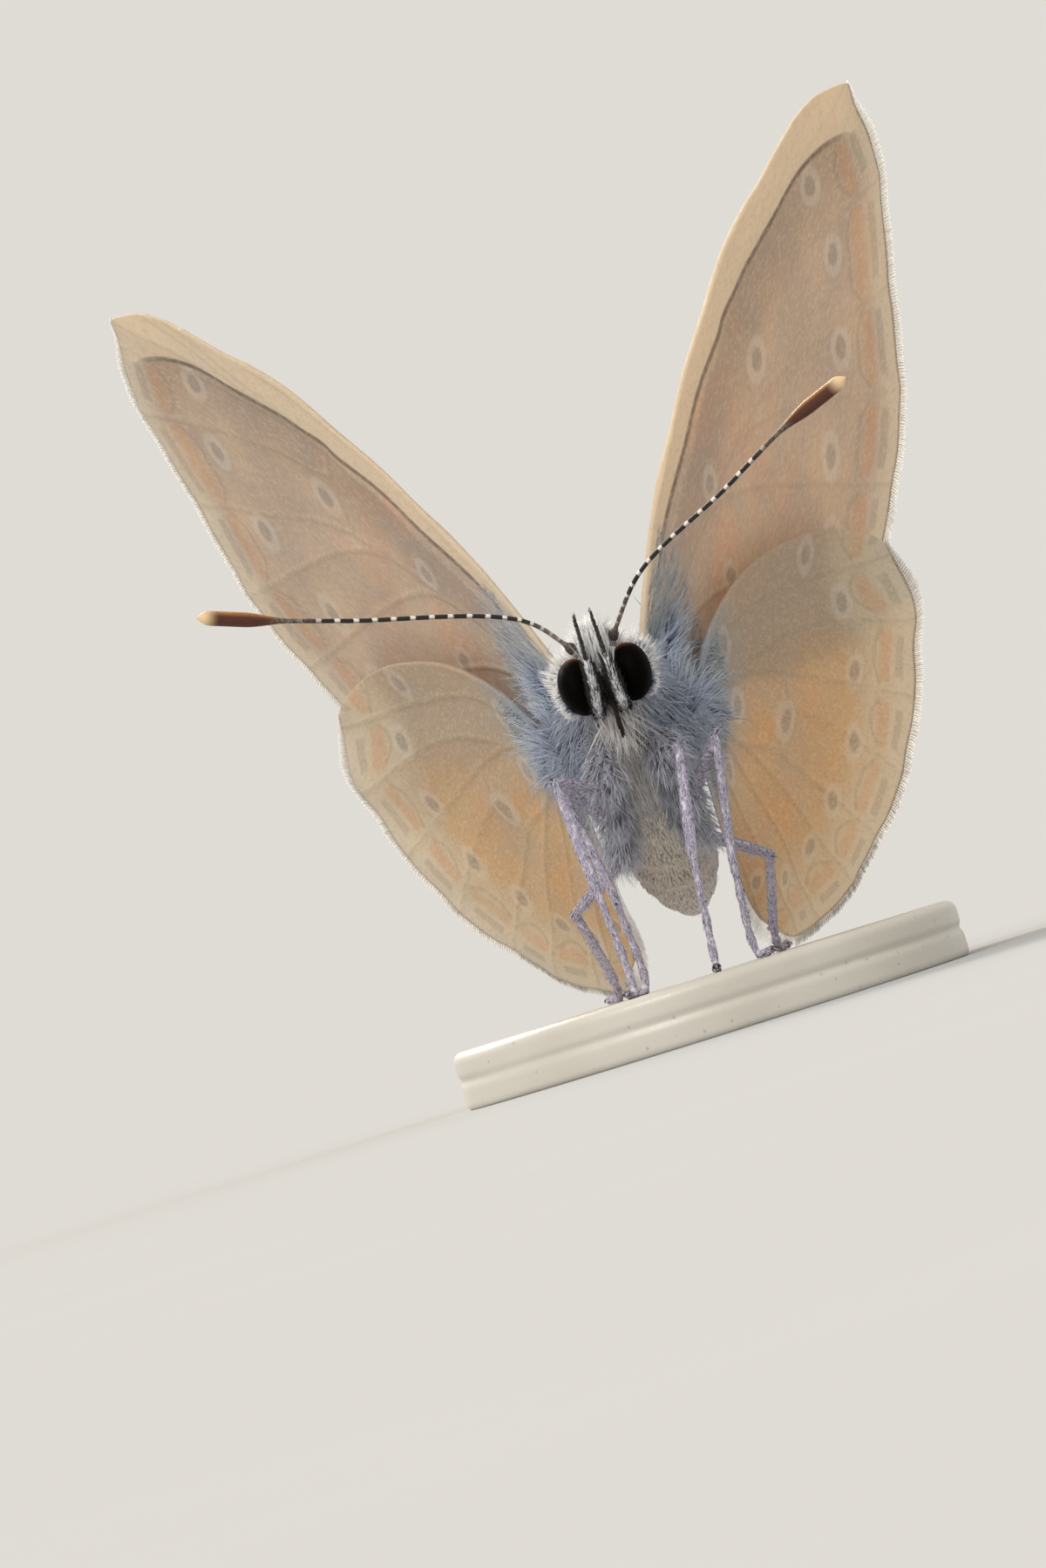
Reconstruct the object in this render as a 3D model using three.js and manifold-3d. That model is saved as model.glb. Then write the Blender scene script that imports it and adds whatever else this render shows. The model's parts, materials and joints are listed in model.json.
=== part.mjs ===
// A small white-winged gossamer butterfly, standing still with its wings half open on a round base.
// Millimetres, +Z up. The butterfly faces -Y and its left side is +X.
// The origin is the centre of the base's underside.

import * as THREE from 'three';
import { mergeVertices } from 'three/addons/utils/BufferGeometryUtils.js';
import Module from 'manifold-3d';

const wasm = await Module();
wasm.setup();

// ---- Driving sizes -------------------------------------------------------------------------

const BASE_RADIUS = 5.4;
const BASE_THICKNESS = 1.2;
const BASE_BEVEL = 0.15;
const BASE_SIDES = 60;

const ROOT_HEIGHT = 6.0;     // wing roots above the base's top
const ROOT_AHEAD = 0.6;      // wing roots in front of the base's centre
const GAP = 0.05;            // cut between neighbouring parts of the body
const FOOT_GAP = 0.02;       // between a foot's flat and the base's top

const WING_THICKNESS = 0.5;
const WING_PITCH = 55;       // head-up tilt of the valley between the wings, degrees
const THORAX_PITCH = 36;
const HEAD_PITCH = 28;
const REAR_TURN = 3.5;       // degrees that wings and abdomen trail toward the left of the head's line
const BEND_SPAN = 12;        // distance from the hinge where a wing's bend is measured

const FORE_LENGTH = 16.4;
const FORE_WING = {
  hinge: [0.98, 0.7, 0.12],  // sideways, forward, up from the wing roots, in the valley's frame
  open: 25.4,                // degrees out from upright
  sweep: 15.4,               // degrees forward of straight out
  bend: 0.5,                 // outward bend at BEND_SPAN
};
const HIND_WING = {
  hinge: [1.56, -0.9, -0.14],
  open: 24.2,
  sweep: -43,
  bend: 1.6,
};
const SAG_LEVEL = -2.0;      // below this level, from the roots, the hindwing curves backward
const SAG_LIFT = 0.045;
const SAG_BACK = 0.055;

const CHORD_STEPS = 10;
const SPAN_STEPS = 12;

const HEAD_CENTRE = [-0.13, -2.75, 0.4];  // from the wing roots
const HEAD_RADII = [0.66, 0.62, 0.7];     // half width, half depth, half height
const EYE_CENTRE = [0.535, 0.1, -0.12];   // in the head's frame
const EYE_RADII = [0.42, 0.56, 0.66];
const EYE_TURN = 14;                      // degrees that each eye faces outward

const PALP_RADIUS = 0.23;
const COIL_RADIUS = 0.42;
const COIL_TURNS = 1.35;
const COIL_TIGHTENING = 0.62;             // share of its radius that the coil loses to its end
const COIL_THREAD = 0.07;
const FEELER_RADIUS = 0.25;
const CLUB_RADIUS = 0.28;
const CLUB_LENGTH = 1.85;
const FEELER_CAP = 0.02;                  // bulge of a feeler's ends
const LEG_RADIUS = 0.25;
const COXA_RADIUS = 0.36;

const ABDOMEN_SEGMENTS = 7;
const WAIST = 0.93;                       // girth between two segments, of the full girth

const X_AXIS = new THREE.Vector3(1, 0, 0);
const Z_AXIS = new THREE.Vector3(0, 0, 1);
const BASE_TOP = BASE_THICKNESS;
const ROOTS = new THREE.Vector3(0, -ROOT_AHEAD, BASE_TOP + ROOT_HEIGHT);

// ---- Small tools ---------------------------------------------------------------------------

const fromRoots = ([x, y, z]) => new THREE.Vector3(x, y, z).add(ROOTS);

// A frame tilted head-up by pitch degrees and turned about the vertical by turn degrees:
// at(sideways, forward, up) is a point in the model.
function tiltedFrame(pitch, origin, turn = 0) {
  const tilt = THREE.MathUtils.degToRad(pitch);
  const yaw = THREE.MathUtils.degToRad(turn);
  const turned = (y, z) => new THREE.Vector3(0, y, z).applyAxisAngle(Z_AXIS, -yaw);
  const side = X_AXIS.clone().applyAxisAngle(Z_AXIS, -yaw);
  const forward = turned(-Math.cos(tilt), Math.sin(tilt));
  const up = turned(Math.sin(tilt), Math.cos(tilt));
  const at = (sideways, ahead, above) => origin.clone()
    .addScaledVector(side, sideways)
    .addScaledVector(forward, ahead)
    .addScaledVector(up, above);
  return { at };
}

const valley = tiltedFrame(WING_PITCH, ROOTS, REAR_TURN);
const rear = tiltedFrame(0, ROOTS, REAR_TURN);
const chest = tiltedFrame(THORAX_PITCH, ROOTS);
const face = tiltedFrame(HEAD_PITCH, fromRoots(HEAD_CENTRE));

// The value at t, 0 to 1, of a smooth line through evenly spaced values.
function along(values, t) {
  const points = values.map((value, i) => new THREE.Vector2(i, value));
  return new THREE.SplineCurve(points).getPoint(t).y;
}

// Turns a mesh's faces outward where its vertices were mapped through a mirrored frame.
function facingOut(geometry) {
  const corner = [new THREE.Vector3(), new THREE.Vector3(), new THREE.Vector3()];
  const { index, attributes } = geometry;
  let volume = 0;
  for (let i = 0; i < index.count; i += 3) {
    corner.forEach((point, k) => point.fromBufferAttribute(attributes.position, index.getX(i + k)));
    volume += corner[0].dot(corner[1].clone().cross(corner[2]));
  }
  if (volume < 0) {
    for (let i = 0; i < index.count; i += 3) {
      const first = index.getX(i);
      index.setX(i, index.getX(i + 1));
      index.setX(i + 1, first);
    }
  }
  return geometry;
}

// Moves every vertex of a unit shape by a function, and keeps it one closed mesh.
function mapped(unitShape, place) {
  unitShape.deleteAttribute('normal');
  unitShape.deleteAttribute('uv');
  const geometry = mergeVertices(unitShape, 1e-5);
  const position = geometry.attributes.position;
  const point = new THREE.Vector3();
  for (let i = 0; i < position.count; i += 1) {
    point.copy(place(point.fromBufferAttribute(position, i).clone()));
    position.setXYZ(i, point.x, point.y, point.z);
  }
  return facingOut(geometry);
}

// A body of rings along a curve. Widths and heights are half sizes from end to end. It is
// egg-shaped, or with caps a tube whose ends bulge by that much. Grow thickens it all over.
function ringBody(curve, widths, heights, { sides = 12, rows = 10, caps = 0, grow = 0 } = {}) {
  return mapped(new THREE.SphereGeometry(1, sides, rows), (point) => {
    const polar = Math.acos(THREE.MathUtils.clamp(point.y, -1, 1));
    const flat = Math.hypot(point.x, point.z);
    const atPole = flat < 1e-4;
    let t = (1 - Math.cos(polar)) / 2;
    let girth = 1;
    let beyond = -Math.cos(polar) * grow;
    if (caps > 0) {
      t = THREE.MathUtils.clamp(((polar / Math.PI) * rows - 1) / (rows - 2), 0, 1);
      girth = atPole ? 0 : 1 / flat;
      beyond = atPole ? -Math.sign(point.y) * (caps + grow) : 0;
    }
    const tangent = curve.getTangent(t);
    const across = X_AXIS.clone().addScaledVector(tangent, -X_AXIS.dot(tangent)).normalize();
    const rise = tangent.clone().cross(across);
    return curve.getPoint(t)
      .addScaledVector(tangent, beyond)
      .addScaledVector(across, point.x * girth * (along(widths, t) + grow))
      .addScaledVector(rise, point.z * girth * (along(heights, t) + grow));
  });
}

// An egg in a tilted frame, turned about the frame's up axis.
function egg(frame, centre, radii, { turn = 0, grow = 0, sides = 14, rows = 10 } = {}) {
  const angle = THREE.MathUtils.degToRad(turn);
  const size = radii.map((radius) => radius + grow);
  return mapped(new THREE.SphereGeometry(1, sides, rows), (point) => {
    const sideways = point.x * size[0];
    const ahead = point.z * size[1];
    return frame.at(
      centre[0] + sideways * Math.cos(angle) + ahead * Math.sin(angle),
      centre[1] - sideways * Math.sin(angle) + ahead * Math.cos(angle),
      centre[2] + point.y * size[2],
    );
  });
}

function solid(geometry) {
  const vertProperties = new Float32Array(geometry.attributes.position.array);
  const triVerts = new Uint32Array(geometry.index.array);
  return new wasm.Manifold(new wasm.Mesh({ numProp: 3, vertProperties, triVerts }));
}

function geometryOf(body) {
  const { vertProperties, triVerts } = body.getMesh();
  const geometry = new THREE.BufferGeometry();
  geometry.setAttribute('position', new THREE.BufferAttribute(vertProperties, 3));
  geometry.setIndex(new THREE.BufferAttribute(triVerts, 1));
  return geometry;
}

// What is left of a shape after the cutters, without any sliver that they leave loose.
function cut(geometry, ...cutters) {
  const body = cutters.reduce((rest, cutter) => rest.subtract(solid(cutter)), solid(geometry));
  const pieces = body.decompose().sort((one, other) => other.volume() - one.volume());
  return geometryOf(pieces[0]);
}

const join = (...geometries) => geometryOf(
  geometries.map(solid).reduce((body, other) => body.add(other)),
);

const model = new THREE.Group();

function addPart(name, geometry, color, roughness = 0.8) {
  const shape = geometry.clone();
  shape.computeVertexNormals();
  const mesh = new THREE.Mesh(shape, new THREE.MeshStandardMaterial({ color, roughness }));
  mesh.name = name;
  model.add(mesh);
}

const COLOURS = {
  base: 0xd8d2c6,
  chest: 0x8a92a6,
  abdomen: 0xb4ab9c,
  head: 0xd9dade,
  eye: 0x0a0807,
  palp: 0xe4e2e4,
  coil: 0x2a211c,
  feeler: 0x2b2521,
  club: 0x6a3a1c,
  foreWing: 0xb8a084,
  hindWing: 0xc3a478,
  leg: 0xb3aab8,
};

const SIDES = { left: 1, right: -1 };

// ---- Base ----------------------------------------------------------------------------------

function baseDisc() {
  const profile = [
    new THREE.Vector2(0, 0),
    new THREE.Vector2(BASE_RADIUS - BASE_BEVEL, 0),
    new THREE.Vector2(BASE_RADIUS, BASE_BEVEL),
    new THREE.Vector2(BASE_RADIUS, BASE_THICKNESS - BASE_BEVEL),
    new THREE.Vector2(BASE_RADIUS - BASE_BEVEL, BASE_THICKNESS),
    new THREE.Vector2(0, BASE_THICKNESS),
  ];
  const lathe = new THREE.LatheGeometry(profile, BASE_SIDES);
  return mapped(lathe, (point) => new THREE.Vector3(point.x, -point.z, point.y));
}

// ---- Trunk ---------------------------------------------------------------------------------

function thorax(grow = 0) {
  const spine = new THREE.QuadraticBezierCurve3(
    chest.at(0, -2.25, -0.62),
    chest.at(0, -0.1, -0.92),
    chest.at(0, 1.95, -0.95),
  );
  const widths = [1.2, 1.62, 1.72, 1.5, 1.1];
  const heights = [1.2, 1.5, 1.62, 1.5, 1.15];
  return ringBody(spine, widths, heights, { sides: 18, rows: 12, grow });
}

function head(grow = 0) {
  return egg(face, [0, 0, 0], HEAD_RADII, { grow });
}

function eye(side, grow = 0) {
  const centre = [side * EYE_CENTRE[0], EYE_CENTRE[1], EYE_CENTRE[2]];
  return egg(face, centre, EYE_RADII, { turn: side * EYE_TURN, grow, sides: 12, rows: 10 });
}

function collar() {
  return egg(chest, [0, 1.9, -0.98], [1.0, 0.42, 0.95], { sides: 12, rows: 7 });
}

// The abdomen runs from the chest's end to its tip with shallow waists between its segments.
function abdomen(grow = 0) {
  const spine = new THREE.QuadraticBezierCurve3(
    rear.at(0, -1.25, -1.55),
    rear.at(0, -4.1, -3.3),
    rear.at(0, -7.3, -4.65),
  );
  const rings = Array.from({ length: ABDOMEN_SEGMENTS * 2 + 1 }, (_, i) => i);
  const waisted = (full) => rings.map((i) => along(full, i / rings.length) * (i % 2 ? 1 : WAIST));
  const widths = waisted([0.8, 1.05, 1.08, 0.95, 0.7]);
  const heights = waisted([0.8, 0.98, 1.0, 0.9, 0.66]);
  return ringBody(spine, widths, heights, { sides: 12, rows: 16, grow });
}

// ---- Head parts ----------------------------------------------------------------------------

function palp(side, grow = 0) {
  const line = new THREE.CatmullRomCurve3([
    face.at(side * 0.36, 0.3, -0.98),
    face.at(side * 0.3, 0.9, -0.6),
    face.at(side * 0.26, 1.08, 0.1),
    face.at(side * 0.23, 1.22, 0.78),
  ]);
  const widths = [0.9, 1.0, 0.95, 0.8, 0.6].map((part) => part * PALP_RADIUS);
  const heights = [1.1, 1.25, 1.15, 0.85, 0.6].map((part) => part * PALP_RADIUS);
  return ringBody(line, widths, heights, { sides: 10, rows: 11, caps: PALP_RADIUS, grow });
}

// The tongue is coiled like a watch spring under the face, between the palps.
function coiledTongue() {
  const steps = 14;
  const middle = { ahead: 0.05, above: -1.12 };
  const points = [face.at(0, 0.25, -0.72)];
  for (let i = 0; i <= steps; i += 1) {
    const share = i / steps;
    const angle = share * COIL_TURNS * 2 * Math.PI;
    const radius = COIL_RADIUS * (1 - COIL_TIGHTENING * share);
    const ahead = middle.ahead + radius * Math.cos(angle);
    const above = middle.above - radius * Math.sin(angle);
    points.push(face.at(0, ahead, above));
  }
  const line = new THREE.CatmullRomCurve3(points);
  const thread = [COIL_THREAD, COIL_THREAD, COIL_THREAD * 0.8];
  return ringBody(line, thread, thread, { sides: 6, rows: 30, caps: COIL_THREAD });
}

// A stretch of a longer curve, from and to given as parts of its length.
class Stretch extends THREE.Curve {
  constructor(whole, from, to) {
    super();
    this.whole = whole;
    this.from = from;
    this.to = to;
  }

  getPoint(t) {
    return this.whole.getPointAt(this.from + (this.to - this.from) * t);
  }
}

// Each feeler bows out and up over the wings' front edges. Places are measured from the roots.
const FEELER_LINES = {
  left: {
    base: [0.25, -2.85, 1.02],
    rise: [1.18, -3.7, 2.07],
    bow: [3.19, -4.8, 3.04],
    neck: [4.66, -5.7, 3.8],
    tip: [6.05, -6.5, 4.32],
  },
  right: {
    base: [-0.54, -2.85, 1.0],
    rise: [-1.35, -3.1, 1.86],
    bow: [-4.66, -3.9, 2.85],
    neck: [-5.97, -4.3, 3.24],
    tip: [-7.5, -4.8, 3.75],
  },
};

function feeler(sideName) {
  const points = Object.values(FEELER_LINES[sideName]).map(fromRoots);
  const line = new THREE.CatmullRomCurve3(points, false, 'centripetal');
  const length = line.getLength();
  const stemEnd = 1 - (CLUB_LENGTH + 2 * GAP) / length;
  const clubStart = 1 - CLUB_LENGTH / length;
  const even = [FEELER_RADIUS, FEELER_RADIUS, FEELER_RADIUS];
  const swelling = [0.9, 0.95, 1.0, 1.0, 0.8].map((part) => part * CLUB_RADIUS);
  const tube = (curve, radii, fineness) => (
    ringBody(curve, radii, radii, { ...fineness, caps: FEELER_CAP })
  );
  return {
    stem: tube(new Stretch(line, 0, stemEnd), even, { sides: 7, rows: 14 }),
    club: tube(new Stretch(line, clubStart, 1), swelling, { sides: 8, rows: 8 }),
  };
}

// ---- Wings ---------------------------------------------------------------------------------

const flat = (x, y) => new THREE.Vector2(x, y);
const edge = (...points) => new THREE.CubicBezierCurve(...points);

// Outlines lie flat with the first number out along the wing and the second toward its hind edge.
// Each has a leading edge and a trailing edge, both from the root, and an outer edge between them.
function foreOutline() {
  const L = FORE_LENGTH;
  const apex = flat(0.985 * L, 0.035 * L);
  const corner = flat(0.584 * L, 0.5 * L);
  return {
    leading: edge(flat(0, -0.5), flat(0.22 * L, -0.145 * L), flat(0.85 * L, -0.135 * L), apex),
    outer: edge(apex, flat(1.055 * L, 0.14 * L), flat(0.768 * L, 0.512 * L), corner),
    trailing: edge(flat(0, 1.1), flat(0.19 * L, 0.2 * L), flat(0.46 * L, 0.475 * L), corner),
  };
}

function hindOutline() {
  const apex = flat(8.7, -4.5);
  const corner = flat(6.4, 5.2);
  return {
    leading: edge(flat(0, -0.6), flat(1.0, -2.6), flat(5.2, -5.2), apex),
    outer: edge(apex, flat(13.2, -3.3), flat(10.4, 4.6), corner),
    trailing: edge(flat(0, 0.9), flat(1.6, 3.2), flat(4.0, 5.3), corner),
  };
}

// The point of the outline's sheet at reach (root to outer edge) and slip (leading to trailing edge).
function sheetPoint({ leading, outer, trailing }, reach, slip) {
  const root = leading.getPoint(0).lerp(trailing.getPoint(0), slip);
  const rim = outer.getPoint(slip);
  const span = leading.getPoint(reach).lerp(trailing.getPoint(reach), slip);
  const corners = leading.getPoint(0).lerp(leading.getPoint(1), reach)
    .lerp(trailing.getPoint(0).lerp(trailing.getPoint(1), reach), slip);
  return span.add(root.lerp(rim, reach)).sub(corners);
}

// Sets a flat wing point, and a distance off the sheet toward the outside, in the model.
function placeOnWing(wing, side, point, off) {
  const sweep = THREE.MathUtils.degToRad(wing.sweep);
  const open = THREE.MathUtils.degToRad(wing.open);
  const out = point.x * Math.cos(sweep) + point.y * Math.sin(sweep);
  const ahead = point.x * Math.sin(sweep) - point.y * Math.cos(sweep);
  const reach = Math.max(out, 0) / BEND_SPAN;
  const bend = wing.bend * reach * reach;
  const slope = Math.atan((2 * wing.bend * reach) / BEND_SPAN);
  const sideways = out * Math.sin(open) + bend * Math.cos(open) + off * Math.cos(open + slope);
  const above = out * Math.cos(open) - bend * Math.sin(open) - off * Math.sin(open + slope);
  const place = valley.at(
    side * (wing.hinge[0] + sideways),
    wing.hinge[1] + ahead,
    wing.hinge[2] + above,
  );
  const sag = Math.max(0, ROOTS.z + SAG_LEVEL - place.z);
  place.z += SAG_LIFT * sag * sag;
  place.y += SAG_BACK * sag * sag;
  return place;
}

function wingPlate(wing, outline, side) {
  const plate = new THREE.BoxGeometry(1, 1, 1, CHORD_STEPS, SPAN_STEPS, 1);
  const plated = mapped(plate, (point) => {
    const onSheet = sheetPoint(outline, point.y + 0.5, point.x + 0.5);
    return placeOnWing(wing, side, onSheet, point.z * WING_THICKNESS);
  });
  return cut(plated, thorax(GAP));
}

// ---- Legs ----------------------------------------------------------------------------------

// Joints of each pair's left leg from the wing roots; heel and toe rest on the base.
const LEG_PAIRS = {
  fore: {
    hip: [0.45, -1.9, -1.0],
    thigh: [0.8, -2.75, -1.8],
    knee: [1.72, -3.85, -1.5],
    ankle: [1.56, -3.75, -3.65],
    heel: [1.45, -3.45, -5.6],
    toe: [1.6, -3.9, -5.78],
  },
  mid: {
    hip: [0.55, -0.9, -1.6],
    thigh: [0.85, -1.6, -2.5],
    knee: [1.68, -2.55, -1.5],
    ankle: [1.25, -2.1, -3.9],
    heel: [1.2, -1.6, -5.6],
    toe: [1.5, -1.9, -5.78],
  },
  hind: {
    hip: [0.55, 0.1, -2.2],
    thigh: [0.85, -0.1, -3.2],
    knee: [2.1, 0.85, -4.0],
    ankle: [1.75, 1.9, -5.45],
    heel: [1.75, 2.35, -5.7],
    toe: [1.95, 3.0, -5.78],
  },
};
// The left foreleg steps inward: shares of each joint's distance from the middle.
const INWARD_STEP = { hip: 1, thigh: 0.85, knee: 0.5, ankle: 0.3, heel: 0.18, toe: 0.16 };

function legJoints(pair, sideName) {
  const steps = pair === 'fore' && sideName === 'left' ? INWARD_STEP : {};
  const joints = {};
  for (const [joint, [x, y, z]] of Object.entries(LEG_PAIRS[pair])) {
    joints[joint] = fromRoots([x * SIDES[sideName] * (steps[joint] ?? 1), y, z]);
  }
  return joints;
}

function limb(points, radii, rows, grow = 0) {
  const line = new THREE.CatmullRomCurve3(points, false, 'centripetal');
  return ringBody(line, radii, radii, { sides: 7, rows, caps: LEG_RADIUS, grow });
}

function upperLeg({ hip, thigh, knee }, grow = 0) {
  const thick = [COXA_RADIUS, COXA_RADIUS, LEG_RADIUS * 1.15];
  const slim = [LEG_RADIUS, LEG_RADIUS * 1.2, LEG_RADIUS];
  return join(limb([hip, thigh], thick, 4, grow), limb([thigh, knee], slim, 5, grow));
}

function lowerLeg({ knee, ankle, heel, toe }) {
  const even = [LEG_RADIUS, LEG_RADIUS, LEG_RADIUS];
  return join(limb([knee, ankle], even, 4), limb([ankle, heel, toe], even, 8));
}

// Everything up to the level of the feet's flats.
function belowFeet() {
  const depth = 3;
  const width = 40;
  const slab = new THREE.BoxGeometry(width, width, depth);
  const shift = new THREE.Vector3(0, 0, BASE_TOP + FOOT_GAP - depth / 2);
  return mapped(slab, (point) => point.add(shift));
}

// ---- Assembly ------------------------------------------------------------------------------

addPart('stand_base', baseDisc(), COLOURS.base, 0.6);
addPart('thorax', thorax(), COLOURS.chest);
addPart('abdomen', cut(abdomen(), thorax(GAP)), COLOURS.abdomen);
addPart('head', cut(head(), eye(1, GAP), eye(-1, GAP), thorax(GAP)), COLOURS.head);
addPart('collar', cut(collar(), head(GAP), eye(1, GAP), eye(-1, GAP), thorax(GAP)), COLOURS.chest);
addPart('tongue', cut(coiledTongue(), head(GAP)), COLOURS.coil, 0.5);

for (const [sideName, side] of Object.entries(SIDES)) {
  addPart(`eye_${sideName}`, eye(side), COLOURS.eye, 0.25);
  addPart(`palp_${sideName}`, cut(palp(side), head(GAP), eye(side, GAP)), COLOURS.palp);

  const { stem, club } = feeler(sideName);
  addPart(`feeler_${sideName}`, cut(stem, head(GAP), eye(side, GAP)), COLOURS.feeler);
  addPart(`feeler_club_${sideName}`, club, COLOURS.club);

  addPart(`forewing_${sideName}`, wingPlate(FORE_WING, foreOutline(), side), COLOURS.foreWing);
  addPart(`hindwing_${sideName}`, wingPlate(HIND_WING, hindOutline(), side), COLOURS.hindWing);

  for (const pair of Object.keys(LEG_PAIRS)) {
    const joints = legJoints(pair, sideName);
    const upper = cut(upperLeg(joints), thorax(GAP));
    const lower = cut(lowerLeg(joints), upperLeg(joints, GAP), belowFeet());
    addPart(`leg_${pair}_upper_${sideName}`, upper, COLOURS.leg);
    addPart(`leg_${pair}_lower_${sideName}`, lower, COLOURS.leg);
  }
}

export default model;
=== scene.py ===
"""A common blue butterfly, standing still with its wings half open on a round base.

Shapes are worked out in millimetres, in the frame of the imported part: +Z up, the butterfly faces
-Y and its left side is +X. Every mesh is turned into metres when it is made.
"""

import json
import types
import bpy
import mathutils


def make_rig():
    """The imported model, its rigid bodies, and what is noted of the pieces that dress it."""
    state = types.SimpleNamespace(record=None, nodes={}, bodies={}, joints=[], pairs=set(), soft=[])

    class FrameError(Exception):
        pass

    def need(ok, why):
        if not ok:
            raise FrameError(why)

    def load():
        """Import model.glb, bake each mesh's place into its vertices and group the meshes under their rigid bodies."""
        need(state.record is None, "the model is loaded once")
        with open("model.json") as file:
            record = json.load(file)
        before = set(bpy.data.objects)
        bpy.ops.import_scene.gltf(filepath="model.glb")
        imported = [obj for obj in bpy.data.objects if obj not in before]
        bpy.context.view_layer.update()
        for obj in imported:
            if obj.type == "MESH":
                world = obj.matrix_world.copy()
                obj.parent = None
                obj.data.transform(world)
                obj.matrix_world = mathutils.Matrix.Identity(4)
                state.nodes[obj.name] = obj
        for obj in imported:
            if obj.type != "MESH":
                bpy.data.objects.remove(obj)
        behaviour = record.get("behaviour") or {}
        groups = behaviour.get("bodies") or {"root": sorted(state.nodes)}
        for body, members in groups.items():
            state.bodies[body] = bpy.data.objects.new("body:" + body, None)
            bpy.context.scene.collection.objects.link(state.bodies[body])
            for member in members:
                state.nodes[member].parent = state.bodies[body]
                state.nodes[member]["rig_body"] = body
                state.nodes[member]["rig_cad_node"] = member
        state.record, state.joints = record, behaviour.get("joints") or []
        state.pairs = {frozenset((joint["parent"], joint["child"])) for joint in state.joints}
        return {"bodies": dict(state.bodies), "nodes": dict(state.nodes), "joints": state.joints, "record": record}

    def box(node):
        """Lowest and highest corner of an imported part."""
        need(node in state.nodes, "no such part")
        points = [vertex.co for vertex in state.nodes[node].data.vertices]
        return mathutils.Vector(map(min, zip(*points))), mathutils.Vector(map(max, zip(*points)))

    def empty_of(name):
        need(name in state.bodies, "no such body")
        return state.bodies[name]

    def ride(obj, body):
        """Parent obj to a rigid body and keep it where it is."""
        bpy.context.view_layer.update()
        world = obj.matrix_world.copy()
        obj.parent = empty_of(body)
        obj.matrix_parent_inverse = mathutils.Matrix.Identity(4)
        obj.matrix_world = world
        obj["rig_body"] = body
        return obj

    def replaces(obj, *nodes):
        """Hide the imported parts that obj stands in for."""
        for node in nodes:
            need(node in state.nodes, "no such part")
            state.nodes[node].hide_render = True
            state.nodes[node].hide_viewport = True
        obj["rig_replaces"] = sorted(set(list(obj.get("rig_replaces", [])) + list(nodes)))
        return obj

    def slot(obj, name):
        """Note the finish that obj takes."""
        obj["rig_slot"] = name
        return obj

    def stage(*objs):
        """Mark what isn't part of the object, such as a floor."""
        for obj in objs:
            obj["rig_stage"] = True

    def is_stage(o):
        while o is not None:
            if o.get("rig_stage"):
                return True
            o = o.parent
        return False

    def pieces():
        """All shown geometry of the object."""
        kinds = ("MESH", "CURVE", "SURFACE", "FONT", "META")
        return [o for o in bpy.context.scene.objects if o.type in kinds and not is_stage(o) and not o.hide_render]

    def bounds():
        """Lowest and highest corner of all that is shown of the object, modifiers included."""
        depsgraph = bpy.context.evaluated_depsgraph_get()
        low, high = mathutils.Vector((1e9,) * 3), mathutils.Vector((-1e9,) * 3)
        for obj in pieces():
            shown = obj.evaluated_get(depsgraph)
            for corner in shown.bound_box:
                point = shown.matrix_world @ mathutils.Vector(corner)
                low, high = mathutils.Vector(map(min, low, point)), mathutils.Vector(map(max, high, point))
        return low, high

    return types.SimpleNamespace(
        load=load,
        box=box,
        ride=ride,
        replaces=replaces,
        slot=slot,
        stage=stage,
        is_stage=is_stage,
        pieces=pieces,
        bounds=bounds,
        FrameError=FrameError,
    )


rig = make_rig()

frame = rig.load()

import json
import math

import bmesh
import bpy
import numpy as np
from mathutils import Matrix, Vector
from mathutils.kdtree import KDTree

cad_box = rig.bounds()

# ---- Driving sizes, in millimetres and degrees ----------------------------------------------

MM = 0.001
SIDES = {"left": 1, "right": -1}

BASE_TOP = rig.box("stand_base")[1].z / MM
BASE_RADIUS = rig.box("stand_base")[1].x / MM
STAND_SIDES = 220
STAND_BEVEL, STAND_GROOVE, STAND_FOOT = 0.22, 0.05, 0.14

ROOTS = np.array([0.0, -0.6, BASE_TOP + 6.0])      # the wing roots
WING_PITCH = 55.0
CHEST_PITCH = 36.0
HEAD_PITCH = 28.0
REAR_TURN = 3.5             # how far wings and abdomen trail to the left of the head's line
HEAD_CENTRE = np.array([-0.13, -2.75, 0.4])        # from the wing roots

CHEST_COAT = 0.36           # how far the flesh lies under the coat's outline
BELLY_COAT = 0.1

EYE_CENTRE = np.array([0.535, 0.1, -0.21])          # sideways, forward, up in the head's frame
EYE_RADII = np.array([0.41, 0.55, 0.61])
EYE_TURN = 14.0
EYE_EDGE_SINK = 0.02
EYE_CLEARANCE = 0.03
EYE_REAR = -0.15            # behind it, from the eye's middle, the coat may reach into the eye
EYE_ROWS, EYE_COLUMNS = 60, 96

FORE_LENGTH = 16.4
BEND_SPAN = 12.0
SAG_LEVEL = -2.0            # below it, from the wing roots, a wing curves up and back
SAG_LIFT = 0.045
SAG_BACK = 0.055
FRINGE = 0.42
FRINGE_ROWS_APART = 0.018
FRINGE_PER_MM = 30
FRINGE_STARTS = 0.3         # share of the trailing edge that has none
FRINGE_ROOT = 0.06          # how far inside the edge it is rooted
SHEET_HALF = 0.016          # half the membrane's thickness between veins
RIPPLE = 0.05
CREASE, CREASE_WIDTH = 0.045, 0.45      # the membrane folds up or down at its veins
VEIN_RIDGE, VEIN_WIDTH = 0.03, 0.07
COAST_RIB, COAST_WIDTH = 0.045, 0.16    # what thickens the leading edge

FEELER_RADIUS = 0.046
FEELER_RINGS, FEELER_SIDES = 420, 14
RING_SPACING = (0.18, 0.385)        # by the head, and from there on
CLUB_LENGTH = 1.7
CLUB_RADIUS = 0.15
CLUB_FLATNESS = 0.82        # its height as a share of its width

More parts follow.
